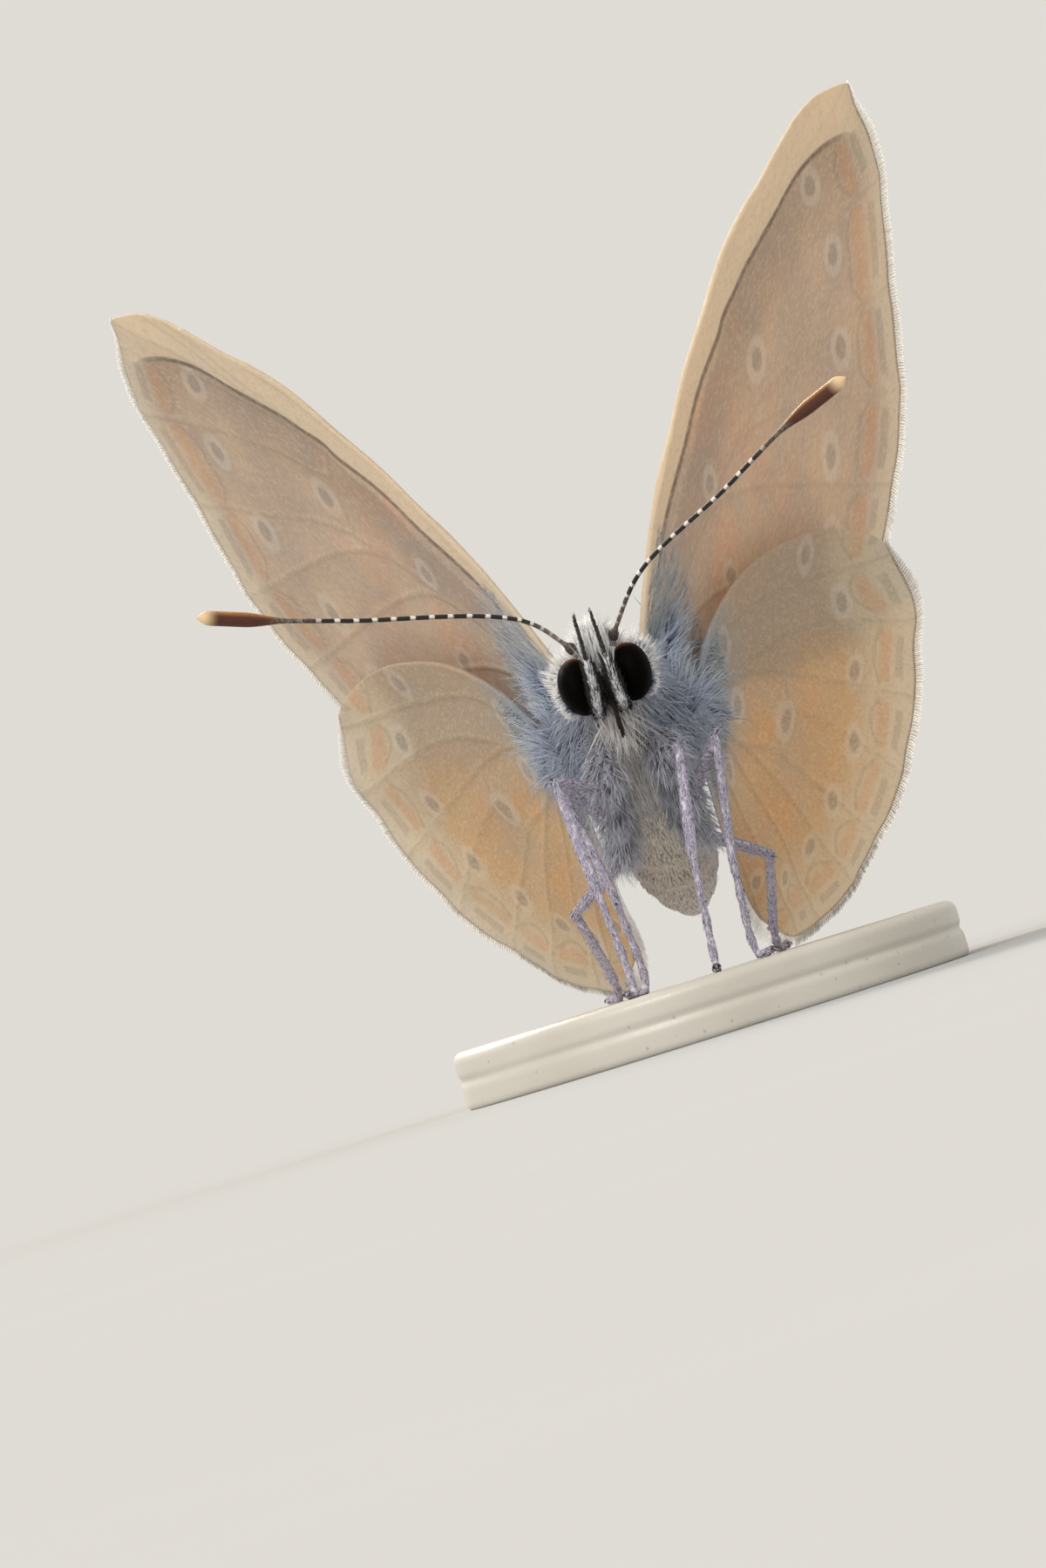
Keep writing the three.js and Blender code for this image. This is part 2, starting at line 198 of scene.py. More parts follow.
COIL_TURNS, COIL_STEPS, COIL_RADIUS = 2.4, 150, 0.4
COIL_TIGHTENING = 0.72      # share of its radius that the tongue's coil loses to its end

PALP_LEAN = -0.12           # how far the left palp leans toward the right one
HEAD_MIDDLE = HEAD_CENTRE[0] + PALP_LEAN / 2
PALP_JOINT = 0.55           # share of the palp's length where its thin last joint starts

SKIN_VOXEL = 0.036
SKIN_RINGS, SKIN_SIDES = 40, 28
SKIN_RELAX, SKIN_RELAX_ROUNDS = 0.5, 4
PAINT_ROUNDS = 6            # how often the skin's colours spread into their neighbours
LOOKS_UP = 0.35             # the abdomen's back is where its normal rises more than this

SIDEWAYS = np.array([1.0, 0.0, 0.0])
UPWARD = np.array([0.0, 0.0, 1.0])


# ---- Small tools ----------------------------------------------------------------------------

def unit(vectors):
    return vectors / np.maximum(np.linalg.norm(vectors, axis=-1, keepdims=True), 1e-9)


def mix(a, b, share):
    return a + (b - a) * share


def ramp(x, low, high):
    """0 below low, 1 above high, and smooth between them. High may be the lower one."""
    t = np.clip((x - low) / (high - low), 0.0, 1.0)
    return t * t * (3 - 2 * t)


def bell(x, width, middle=0.0):
    """1 at the middle, falling off to both sides."""
    return np.exp(-((x - middle) / width) ** 2)


def stretches(line):
    """The length of each stretch between a line's points."""
    return np.linalg.norm(np.diff(line, axis=0), axis=1)


def running(steps):
    """The sums of the steps so far, from 0."""
    return np.concatenate([[0.0], np.cumsum(steps)])


def same_side(ways, others):
    """1 where two ways point to the same side, and -1 where they don't."""
    return np.sign(np.sum(ways * others, -1, keepdims=True))


def from_roots(*place):
    return ROOTS + np.array(place, float)


class TiltedFrame:
    """A frame about a place, tilted head-up by pitch degrees and turned about the vertical."""

    def __init__(self, pitch, origin, turn=0.0):
        tilt, yaw = math.radians(pitch), math.radians(turn)
        back = np.array([math.sin(yaw), math.cos(yaw), 0.0])
        self.origin = np.array(origin, float)
        self.side = np.array([math.cos(yaw), -math.sin(yaw), 0.0])
        self.forward = UPWARD * math.sin(tilt) - back * math.cos(tilt)
        self.up = UPWARD * math.cos(tilt) + back * math.sin(tilt)

    def direction(self, sideways, ahead, above):
        parts = np.broadcast_arrays(sideways, ahead, above)
        axes = (self.side, self.forward, self.up)
        return sum(np.asarray(part, float)[..., None] * axis for part, axis in zip(parts, axes))

    def at(self, sideways, ahead, above):
        return self.origin + self.direction(sideways, ahead, above)


# The frames of the wings, the abdomen, the chest and the head.
valley = TiltedFrame(WING_PITCH, ROOTS, REAR_TURN)
rear = TiltedFrame(0.0, ROOTS, REAR_TURN)
chest = TiltedFrame(CHEST_PITCH, ROOTS)
face = TiltedFrame(HEAD_PITCH, from_roots(*HEAD_CENTRE))


def eased(values, t):
    """A smooth line through evenly spaced values, read at t from 0 to 1."""
    values = np.asarray(values, float)
    x = np.clip(t, 0.0, 1.0) * (len(values) - 1)
    i = np.minimum(x.astype(int), len(values) - 2)
    f = x - i
    ends = [2 * values[0] - values[1]], [2 * values[-1] - values[-2]]
    padded = np.concatenate([ends[0], values, ends[1]])
    a, b, c, d = (padded[i + k] for k in range(4))
    rise = 2 * a - 5 * b + 4 * c - d
    return 0.5 * (2 * b + (c - a) * f + rise * f**2 + (3 * b - a - 3 * c + d) * f**3)


def bezier(points, t):
    """The point at t of a Bezier curve with any number of control points."""
    points = [np.asarray(p, float) for p in points]
    t = np.asarray(t, float)[..., None]
    while len(points) > 1:
        points = [mix(a, b, t) for a, b in zip(points, points[1:])]
    return points[0]


def through(points, count=120):
    """A centripetal Catmull-Rom curve through the points."""
    p = np.asarray(points, float)
    p = np.vstack([2 * p[0] - p[1], p, 2 * p[-1] - p[-2]])
    knots = running(stretches(p) ** 0.5)
    s = np.linspace(knots[1], knots[-2], count)
    i = np.clip(np.searchsorted(knots, s, side="right") - 1, 1, len(p) - 3)

    def between(a, b, first, last):
        start, end = knots[i + first], knots[i + last]
        return mix(a, b, ((s - start) / (end - start))[:, None])

    outer = [between(p[i + k], p[i + k + 1], k, k + 1) for k in (-1, 0, 1)]
    inner = [between(outer[0], outer[1], -1, 1), between(outer[1], outer[2], 0, 2)]
    return between(inner[0], inner[1], 0, 1)


def read_rows(where, known, rows):
    """Rows of numbers that are known at some lengths, read at others."""
    return np.stack([np.interp(where, known, column) for column in rows.T], -1)


def full_turn(sides):
    return np.arange(sides) * 2 * math.pi / sides


def ring_faces(rings, sides):
    """Faces of a round body. Its points are rings, and after them the middles of its ends."""
    first = rings * sides
    top = first - sides
    faces = []
    for i in range(sides):
        j = (i + 1) % sides
        faces += [(first, j, i), (first + 1, top + i, top + j)]
        faces += [(a + i, a + j, a + sides + j, a + sides + i) for a in range(0, top, sides)]
    return faces


def placed(name, data):
    """A new object in the scene."""
    made = bpy.data.objects.new(name, data)
    bpy.context.scene.collection.objects.link(made)
    return made


def add_mesh(name, points, faces, materials, slots=None, fields=None, uv=None):
    """An object in metres from points in millimetres. Fields are numbers or vectors per point."""
    mesh = bpy.data.meshes.new(name)
    if isinstance(faces, np.ndarray):
        mesh.vertices.add(len(points))
        mesh.vertices.foreach_set("co", np.asarray(points, np.float32).ravel())
        mesh.loops.add(faces.size)
        mesh.loops.foreach_set("vertex_index", faces.astype(np.int32).ravel())
        mesh.polygons.add(len(faces))
        starts = np.arange(0, faces.size, faces.shape[1], dtype=np.int32)
        mesh.polygons.foreach_set("loop_start", starts)
        mesh.update(calc_edges=True)
    else:
        mesh.from_pydata(np.asarray(points).tolist(), [], faces)
    for material in materials:
        mesh.materials.append(material)
    if slots is not None:
        mesh.polygons.foreach_set("material_index", np.asarray(slots, np.int32))
    mesh.transform(Matrix.Scale(MM, 4))
    for field, values in (fields or {}).items():
        set_field(mesh, field, values)
    if uv is not None:
        corners = np.zeros(len(mesh.loops), np.int32)
        mesh.loops.foreach_get("vertex_index", corners)
        layer = mesh.uv_layers.new(name="OFBake")
        layer.data.foreach_set("uv", np.asarray(uv, np.float32)[corners].ravel())
    mesh.shade_smooth()
    return placed(name, mesh)


def set_field(mesh, name, values):
    values = np.asarray(values, np.float32)
    if values.ndim == 1:
        mesh.attributes.new(name, "FLOAT", "POINT").data.foreach_set("value", values)
    elif values.shape[1] == 4:
        mesh.attributes.new(name, "FLOAT_COLOR", "POINT").data.foreach_set("color", values.ravel())
    else:
        layer = mesh.attributes.new(name, "FLOAT_VECTOR", "POINT")
        layer.data.foreach_set("vector", values.ravel())


def add_closed_mesh(name, points, faces, materials, **more):
    """Add_mesh for a closed shape, with every face turned outward."""
    piece = add_mesh(name, points, faces, materials, **more)
    shape = bmesh.new()
    shape.from_mesh(piece.data)
    bmesh.ops.recalc_face_normals(shape, faces=shape.faces)
    shape.to_mesh(piece.data)
    shape.free()
    return piece


def belongs(piece, slot, *nodes):
    """The piece rides on the part's one body, takes its finish from a slot and replaces nodes."""
    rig.ride(piece, "root")
    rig.slot(piece, slot)
    if nodes:
        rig.replaces(piece, *nodes)


# ---- Materials ------------------------------------------------------------------------------

def colour(red, green, blue):
    """A colour picker's 0 to 255 as the renderer's linear colour."""
    def linear(c):
        c /= 255
        return c / 12.92 if c <= 0.04045 else ((c + 0.055) / 1.055) ** 2.4

    return linear(red), linear(green), linear(blue), 1.0


class Finish:
    """A material being made from nodes. A colour is a socket, or red, green and blue to 255."""

    def __init__(self, name):
        self.material = bpy.data.materials.new(name)
        self.material.use_nodes = True
        self.tree = self.material.node_tree
        self.tree.nodes.clear()

    def feed(self, socket, value):
        """Links a socket to the one that feeds it, or gives it a value."""
        if isinstance(value, bpy.types.NodeSocket):
            self.tree.links.new(value, socket)
        else:
            socket.default_value = value

    def node(self, kind, inputs, **settings):
        made = self.tree.nodes.new("ShaderNode" + kind)
        for key, value in settings.items():
            setattr(made, key, value)
        for key, value in inputs.items():
            self.feed(made.inputs[key], value)
        return made

    def field(self, name, output="Fac"):
        return self.node("Attribute", {}, attribute_name=name).outputs[output]

    def place(self):
        """The place on the piece, in millimetres."""
        here = self.node("TexCoord", {}).outputs["Object"]
        inputs = {0: here, "Scale": 1 / MM}
        return self.node("VectorMath", inputs, operation="SCALE").outputs[0]

    def stretched(self, vector, *scale):
        return self.node("VectorMath", {0: vector, 1: scale}, operation="MULTIPLY").outputs[0]

    def math(self, operation, a, b=0.0):
        return self.node("Math", {0: a, 1: b}, operation=operation).outputs[0]

    def both(self, a, b):
        """The share that two masks have in common."""
        return self.math("MULTIPLY", a, b)

    def ramp(self, value, low, high, top=1.0, bottom=0.0):
        """Bottom at low and top at high, smooth between them. High may be the lower one."""
        if low > high:
            low, high, bottom, top = high, low, top, bottom
        inputs = {"Value": value, "From Min": low, "From Max": high, "To Min": bottom, "To Max": top}
        return self.node("MapRange", inputs, interpolation_type="SMOOTHSTEP").outputs["Result"]

    def coloured(self, base, *layers):
        """Colours over a base. Each layer is a mask, or what ramp makes a mask of, and a colour."""
        for *mask, tint in layers:
            share = self.ramp(*mask) if len(mask) > 1 else mask[0]
            made = self.node("Mix", {}, data_type="RGBA", blend_type="MIX")
            for key, value in (("Factor_Float", share), ("A_Color", base), ("B_Color", tint)):
                value = colour(*value) if isinstance(value, tuple) else value
                self.feed(next(s for s in made.inputs if s.identifier == key), value)
            base = next(s for s in made.outputs if s.identifier == "Result_Color")
        return base

    def noise(self, vector, scale, detail=3.0):
        inputs = {"Vector": vector, "Scale": scale, "Detail": detail}
        return self.node("TexNoise", inputs).outputs["Fac"]

    def cells(self, vector, scale):
        """The distance to the middle of each place's cell, and the cell's own chance colour."""
        made = self.node("TexVoronoi", {"Vector": vector, "Scale": scale}, feature="F1")
        return made.outputs["Distance"], made.outputs["Color"]

    def red(self, tone):
        """A chance colour's red share, as a number for each cell."""
        return self.node("SeparateColor", {0: tone}).outputs[0]

    def bump(self, height, strength, distance, under=None):
        """Relief of a height in millimetres, on top of the relief under it."""
        inputs = {"Height": height, "Strength": strength, "Distance": distance * MM}
        if under is not None:
            inputs["Normal"] = under
        return self.node("Bump", inputs).outputs["Normal"]

    def surface(self, base, roughness, normal, see_through=0.0, glow=None, **sockets):
        """Finishes the material. See_through is the share of light that passes a thin piece."""
        inputs = {"Base Color": base, "Roughness": roughness, "Normal": normal}
        inputs.update({key.replace("_", " "): value for key, value in sockets.items()})
        shader = self.node("BsdfPrincipled", inputs).outputs[0]
        if see_through:
            behind = {"Color": base if glow is None else glow, "Normal": normal}
            passing = self.node("BsdfTranslucent", behind).outputs[0]
            inputs = {0: see_through, 1: shader, 2: passing}
            shader = self.node("MixShader", inputs).outputs[0]
        self.node("OutputMaterial", {"Surface": shader})
        return self.material


def coat_finish(name, dark, pale, tip, other=None, see_through=0.15, fleck=0.12, **sockets):
    """Tufts: each has its own shade between dark and pale, and runs to the tip's colour. Where
    the field zone is high, the other colour takes their place."""
    f = Finish(name)
    grain = f.noise(f.place(), 22.0, 2.0)
    elsewhere = [] if other is None else [(f.field("zone"), other)]
    body = f.coloured(dark, (f.field("shade"), pale), *elsewhere,
                      (f.field("along"), 0.35, 1.0, 0.7, tip), (grain, 0.45, 0.75, fleck, dark))
    normal = f.bump(f.noise(f.place(), 60.0, 2.0), 0.3, 0.01)
    return f.surface(body, f.ramp(grain, 0.2, 0.8, 0.7, bottom=0.45), normal, see_through, **sockets)


# Light that spreads inside pale tufts, so that they glow with the light behind them.
GLOWING = {"see_through": 0.0, "Subsurface_Weight": 1.0, "Subsurface_Radius": (1.0, 1.0, 1.0),
           "Subsurface_Scale": 0.1 * MM}


# ---- Bodies of rings ------------------------------------------------------------------------

class Tube:
    """A round body along a line. It is egg-shaped, or rounded off over a cap at both ends."""

    def __init__(self, name, line, widths, heights=None, cap=None, reference=SIDEWAYS):
        self.name = name
        self.line = np.asarray(line, float)
        self.length = stretches(self.line).sum()
        self.t = running(stretches(self.line)) / self.length
        tangent = unit(np.gradient(self.line, axis=0))
        self.across = unit(reference - tangent * (tangent @ reference)[:, None])
        self.rise = np.cross(tangent, self.across)
        self.widths = widths
        self.heights = widths if heights is None else heights
        self.cap = cap

    def girth(self, t):
        """How full the body is at t, from 0 at its very ends to 1."""
        if self.cap is None:
            return 2 * np.sqrt(np.clip(t * (1 - t), 0, 1))
        near = np.minimum(t, 1 - t) * self.length / self.cap
        return np.sqrt(1 - (1 - np.clip(near, 0, 1)) ** 2)

    def beside(self, t, wide, tall):
        """Places off the line at t, by some way across it and some way up from it."""
        across, rise = (read_rows(t, self.t, way) for way in (self.across, self.rise))
        return read_rows(t, self.t, self.line) + across * wide[..., None] + rise * tall[..., None]

    def at(self, t, angle):
        t, angle = np.broadcast_arrays(t, angle)
        girth = self.girth(t)
        wide = eased(self.widths, t) * girth * np.cos(angle)
        tall = eased(self.heights, t) * girth * np.sin(angle)
        return self.beside(t, wide, tall)

    def surface(self, t, angle):
        """Places, their normals, the way along the body there, and each place's share of area."""
        step = 2e-3
        place = self.at(t, angle)
        ahead, back = np.clip(t + step, 0, 1), np.clip(t - step, 0, 1)
        along = self.at(ahead, angle) - self.at(back, angle)
        around = self.at(t, angle + step) - self.at(t, angle - step)
        normal = np.cross(around, along)
        area = np.linalg.norm(normal, axis=-1)
        outside = same_side(normal, place - read_rows(t, self.t, self.line))
        return place, unit(normal) * outside, unit(along), area

    def mesh(self, rings, sides):
        """Its points, its faces, and t at each point."""
        polar = np.linspace(0, math.pi, rings + 2)[1:-1]
        t = (1 - np.cos(polar)) / 2
        points = self.at(t[:, None], full_turn(sides)[None, :]).reshape(-1, 3)
        points = np.vstack([points, self.line[0], self.line[-1]])
        return points, ring_faces(rings, sides), np.concatenate([np.repeat(t, sides), [0.0, 1.0]])

    def scatter(self, count, rng, where=None):
        """Roots spread evenly over the body, or densely where that function of place, normal and
        t is high. They are picked from six times as many places."""
        t = rng.uniform(0.01, 0.99, count * 6)
        angle = rng.uniform(0, 2 * math.pi, count * 6)
        place, normal, flow, area = self.surface(t, angle)
        weight = area * (1.0 if where is None else where(place, normal, t))
        weight[weight <= 1e-6 * weight.max()] = 0.0
        count = min(count, np.count_nonzero(weight))
        pick = rng.choice(len(t), count, replace=False, p=weight / weight.sum())
        return Roots(place[pick], normal[pick], flow[pick], t[pick], angle[pick] / (2 * math.pi))


class Roots:
    """Where tufts grow: places, normals, the lie of the coat, and places on the unwrapped skin."""

    def __init__(self, place, normal, flow, u, v):
        self.place, self.normal, self.flow, self.u, self.v = place, normal, flow, u, v

    def __len__(self):
        return len(self.place)

    def level(self, way):
        """A way at each root without what it has of the normal."""
        return way - self.normal * np.sum(way * self.normal, -1, keepdims=True)

    def turned(self, way, middle=None):
        """The same roots with the coat lying another way, fanned out sideways from a middle."""
        fan = 0.0 if middle is None else SIDEWAYS * (self.place[:, :1] - middle)
        return Roots(self.place, self.normal, unit(self.level(way + fan)), self.u, self.v)

    def kept(self, which):
        parts = (self.place, self.normal, self.flow, self.u, self.v)
        return Roots(*(part[which] for part in parts))


def joined(tubes, rings, sides):
    """The points and faces of several tubes' meshes as one."""
    points, faces, start = [], [], 0
    for tube in tubes:
        own_points, own_faces, _ = tube.mesh(rings, sides)
        points.append(own_points)
        faces += [tuple(start + i for i in corners) for corners in own_faces]
        start += len(own_points)
    return np.vstack(points), faces


def gathered(groups):
    """Several groups of roots as one, each with its own strip of the unwrapped square."""
    share = 1.0 / len(groups)
    parts = [(g.place, g.normal, g.flow, g.u, (k + 0.03 + 0.94 * g.v) * share)
             for k, g in enumerate(groups)]
    return Roots(*(np.concatenate(part) for part in zip(*parts)))


# A tuft's outline: shares of its length and of its width there. It ends in a point.
HAIR = ((0.0, 1.0), (0.38, 0.85), (0.72, 0.5))
SCALE = ((0.0, 0.5), (0.4, 1.0), (0.84, 0.72))
BRISTLE_SCALE = ((0.0, 0.7), (0.45, 1.0), (0.85, 0.75))
PATCH = 0.0015                  # half of a tuft's patch on the unwrapped skin
SINK = 0.06                     # how deep a root sits, as a share of the tuft's length
DEEPEST_ROOT = 0.02
BLADE_CORNERS = (math.pi / 2, math.pi * 7 / 6, math.pi * 11 / 6)
# Each coat draws its own random numbers.
SEEDS = {"chest": 11, "beard": 12, "abdomen": 13, "armpits": 14, "head": 21, "eyes": 22,
         "palps": 23, "legs": 31, "wings": 41}


def random_row(coat):
    return np.random.default_rng(SEEDS[coat])


def tufts(name, roots, material, rng, length, width, lift, flat=0.6, shape=HAIR, spread=0.25,
          settle=0.6, droop=0.0, zone=0.0, vary=0.25):
    """Solid tufts, each a tapering three-sided blade that lifts off the skin by an angle and
    settles along it. Flat is its thickness as a share of its width, spread and vary are how much
    tufts differ in way and size, and droop bends them down."""
    count = len(roots)
    length = np.broadcast_to(length, count) * rng.uniform(1 - vary, 1 + vary, count)
    width = np.broadcast_to(width, count) * rng.uniform(1 - vary, 1 + vary, count)
    lift = np.radians(np.broadcast_to(lift, count) * rng.uniform(0.7, 1.3, count))
    yaw = spread * np.clip(rng.normal(0, 1, count), -1.8, 1.8)[:, None]
    side = unit(np.cross(roots.flow, roots.normal))
    flow = unit(roots.flow * np.cos(yaw) + side * np.sin(yaw))
    side = unit(np.cross(flow, roots.normal))
    centre = roots.place - roots.normal * np.minimum(SINK * length, DEEPEST_ROOT)[:, None]
    points, along = [], []
    for (share, wide), (after, _) in zip(shape, [*shape[1:], (1.0, 0.0)]):
        tilt = (lift * (1 - settle * share))[:, None]
        rise = unit(roots.normal * np.cos(tilt) - flow * np.sin(tilt))
        sunk = centre - UPWARD * (droop * length * share**2)[:, None]
        half = (width * wide / 2)[:, None]
        for angle in BLADE_CORNERS:
            offset = side * (half * math.cos(angle)) + rise * (half * flat * math.sin(angle))
            points.append(sunk + offset)
            along.append(np.full(count, share))
        way = flow * np.cos(tilt) + roots.normal * np.sin(tilt)
        centre = centre + way * (length * (after - share))[:, None]
    points.append(centre - UPWARD * (droop * length)[:, None])
    along.append(np.ones(count))
    points, along = np.stack(points, 1), np.stack(along, 1)
    per = points.shape[1]
    faces = [(0, 2, 1)]
    for k in range(0, per - 4, 3):
        for a, b in ((k, k + 1), (k + 1, k + 2), (k + 2, k)):
            faces += [(a, b, b + 3), (a, b + 3, a + 3)]
    faces += [(per - 4, per - 3, per - 1), (per - 3, per - 2, per - 1), (per - 2, per - 4, per - 1)]
    faces = (np.array(faces)[None] + (np.arange(count) * per)[:, None, None]).reshape(-1, 3)
    spot = rng.uniform(-PATCH, PATCH, (count, per, 2))
    uv = np.stack([roots.u, roots.v], -1)[:, None, :] + spot
    fields = {
        "along": along.ravel(),
        "shade": np.repeat(rng.uniform(0, 1, count), per),
        "zone": np.repeat(np.broadcast_to(zone, count), per),
    }
    return add_mesh(name, points.reshape(-1, 3), faces, [material], fields=fields,
                    uv=uv.reshape(-1, 2))


# ---- The skin -------------------------------------------------------------------------------

JOINTS = ("hip", "thigh", "knee", "ankle", "heel", "toe")
# The left legs' joints, sideways, back and up from the wing roots.
LEG_PAIRS = {
    "fore": [(0.45, -1.9, -1.0), (0.8, -2.75, -1.8), (1.72, -3.85, -1.42),
             (1.56, -3.75, -3.65), (1.45, -3.45, -5.6), (1.6, -3.9, -5.78)],
    "mid": [(0.55, -0.9, -1.6), (0.85, -1.6, -2.5), (1.66, -2.55, -1.42),
            (1.25, -2.1, -3.9), (1.2, -1.6, -5.6), (1.5, -1.9, -5.78)],
    "hind": [(0.55, 0.1, -2.2), (0.85, -0.1, -3.2), (2.1, 0.85, -4.0),
             (1.75, 1.9, -5.45), (1.75, 2.35, -5.7), (1.95, 3.0, -5.78)],
}
# The left foreleg stands inward: what each of its joints keeps of its way out.
INWARD_STEP = (1, 0.85, 0.5, 0.3, 0.18, 0.16)
# Half widths along each length of a leg, from its upper end.
FEMUR = {"fore": [0.09, 0.1, 0.085, 0.07], "mid": [0.1, 0.12, 0.1, 0.08],
         "hind": [0.11, 0.13, 0.11, 0.085]}
TIBIA = {"fore": [0.08, 0.1, 0.12, 0.095], "mid": [0.078, 0.088, 0.094, 0.085],
         "hind": [0.085, 0.095, 0.1, 0.09]}
FOOT_RINGS = [0.068, 0.084] * 5 + [0.068]
FOOT_RADIUS = 0.07
FOOT_SOLE = 0.042               # room for the rings and scales under a foot
FOOT_LEVEL = BASE_TOP + FOOT_SOLE + FOOT_RADIUS
ANKLE_LIFT = 0.12               # at least this high above the level of the feet
LIMB_OVERLAP = 0.07


def leg_joints(pair, side_name):
    joints = {}
    for joint, kept, (x, y, z) in zip(JOINTS, INWARD_STEP, LEG_PAIRS[pair]):
        inward = kept if (pair, side_name) == ("fore", "left") else 1
        joints[joint] = from_roots(x * SIDES[side_name] * inward, y, z)
    for joint in ("heel", "toe"):
        joints[joint][2] = FOOT_LEVEL
    joints["ankle"][2] = max(joints["ankle"][2], FOOT_LEVEL + ANKLE_LIFT)
    return joints


def overlapping(start, end):
    """The way from start to end and a little past both, so that limbs meet inside each other."""
    past = unit(end - start) * LIMB_OVERLAP
    return start - past, end + past


def leg_tubes(pair, side_name, trunk_line):
    """The lengths of a leg, and a stub that ties it to the trunk under the chest's hair."""
    j = leg_joints(pair, side_name)
    trunk = trunk_line[np.argmin(np.linalg.norm(trunk_line - j["hip"], axis=1))]
    stub = through([trunk, mix(j["hip"], j["thigh"], 0.25)])
    tag = f"{pair}_{side_name}"
    foot_start, _ = overlapping(j["ankle"], j["heel"])
    return [
        Tube(f"thorax_{tag}", stub, [0.4, 0.34, 0.25], cap=0.2),
        Tube(f"coxa_{tag}", through([j["hip"], j["thigh"]]), [0.27, 0.25, 0.16], cap=0.15),
        Tube(f"femur_{tag}", through(overlapping(j["thigh"], j["knee"])), FEMUR[pair], cap=0.08),
        Tube(f"tibia_{tag}", through(overlapping(j["knee"], j["ankle"])), TIBIA[pair], cap=0.08),
        Tube(f"tarsus_{tag}", through([foot_start, j["heel"], j["toe"]]), FOOT_RINGS, cap=0.08),
    ]


# A palp, sideways, ahead and up from the middle of the head.
PALP_LINE = [(0.32, 0.3, -0.98), (0.27, 0.9, -0.6), (0.25, 1.08, 0.1), (0.23, 1.22, 0.78)]


def palp_tubes(side_name):
    side = SIDES[side_name]
    lean = PALP_LEAN if side > 0 else 0.0
    line = through([face.at(side * x + lean, ahead, above) for x, ahead, above in PALP_LINE])
    joint = int(len(line) * PALP_JOINT)
    stout = through([face.at(side * 0.3, -0.1, -0.6), *line[0:joint + 3:12]])
    return [
        Tube(f"palp_{side_name}", stout, [0.09, 0.095, 0.095, 0.07], [0.13, 0.14, 0.13, 0.07],
             cap=0.08),
        Tube(f"needle_{side_name}", line[joint - 8:], [0.046, 0.048, 0.042, 0.03], cap=0.03),
    ]


# Lines of the trunk, in the frames of the chest, the rear and the head.
CHEST_LINE = [(0, -2.15, -0.62), (0, -0.1, -0.92), (0, 1.9, -0.95)]
BELLY_LINE = [(0, -0.9, -1.4), (0, -4.1, -3.3), (0, -7.15, -4.6)]
NECK_LINE = [(0, 1.45, -0.98), (0, 2.35, -0.98)]
SKULL_LINE = [(0, -0.55, 0), (0, 0.55, 0)]
BELLY_RINGS = 15
WAIST = 0.955                   # the abdomen's width between two of its rings


def trunk_tubes():
    def line(frame, points):
        return bezier([frame.at(*point) for point in points], np.linspace(0, 1, 120))

    chest_width = np.array([1.2, 1.62, 1.72, 1.5, 1.1]) - CHEST_COAT
    chest_height = np.array([1.2, 1.5, 1.62, 1.5, 1.15]) - CHEST_COAT
    waist = np.array([1 if i % 2 else WAIST for i in range(BELLY_RINGS)])
    spaced = np.linspace(0, 1, BELLY_RINGS)
    belly_width = (eased([0.8, 1.05, 1.08, 0.95, 0.7], spaced) - BELLY_COAT) * waist
    belly_height = (eased([0.8, 0.98, 1.0, 0.9, 0.66], spaced) - BELLY_COAT) * waist
    return [
        Tube("thorax", line(chest, CHEST_LINE), chest_width, chest_height),
        Tube("abdomen", line(rear, BELLY_LINE), belly_width, belly_height),
        Tube("head", line(face, SKULL_LINE), [0.58] * 3, [0.62] * 3),
        Tube("collar", line(chest, NECK_LINE), [0.82] * 3, [0.78] * 3),
    ]


LOBE_ENDS = [(-1.4, 0.25), (0.75, 0.15)]        # flat places on a wing


def wing_lobes(wings):
    """The thick root of each wing, out of the chest's side."""
    lobes = []
    for wing in wings:
        ends = wing.place(np.array(LOBE_ENDS))
        line = mix(ends[0], ends[1], np.linspace(0, 1, 40)[:, None])
        lobes.append(Tube(f"lobe_{wing.name}", line, [0.4, 0.36, 0.16], [0.5, 0.4, 0.14], cap=0.3))
    return lobes


# The bare skin by the tube under it. The abdomen's upper side is the back.
SKIN_COLOURS = {
    "thorax": (158, 164, 178),
    "collar": (180, 184, 194),
    "head": (226, 226, 230),
    "abdomen": (214, 208, 200),
    "back": (160, 170, 192),
    "coxa": (176, 178, 190),
    "femur": (208, 200, 214),
    "tibia": (216, 208, 224),
    "tarsus": (212, 204, 216),
    "palp": (190, 192, 202),
    "needle": (20, 17, 16),
    "lobe": (150, 158, 172),
}


def skin_finish():
    f = Finish("skin")
    blotch = f.noise(f.place(), 9.0, 4.0)
    flecks, _ = f.cells(f.place(), 26.0)
    base = f.coloured(f.field("paint", "Color"), (blotch, 0.45, 0.8, 0.35, (96, 92, 98)),
                      (flecks, 0.34, 0.1, 0.25, (232, 230, 234)))
    rows, _ = f.cells(f.stretched(f.place(), 1.0, 1.0, 0.55), 17.0)
    normal = f.bump(rows, 0.5, 0.03)
    normal = f.bump(f.noise(f.place(), 70.0, 2.0), 0.25, 0.01, normal)
    return f.surface(base, f.ramp(blotch, 0.3, 0.7, 0.75, bottom=0.5), normal)


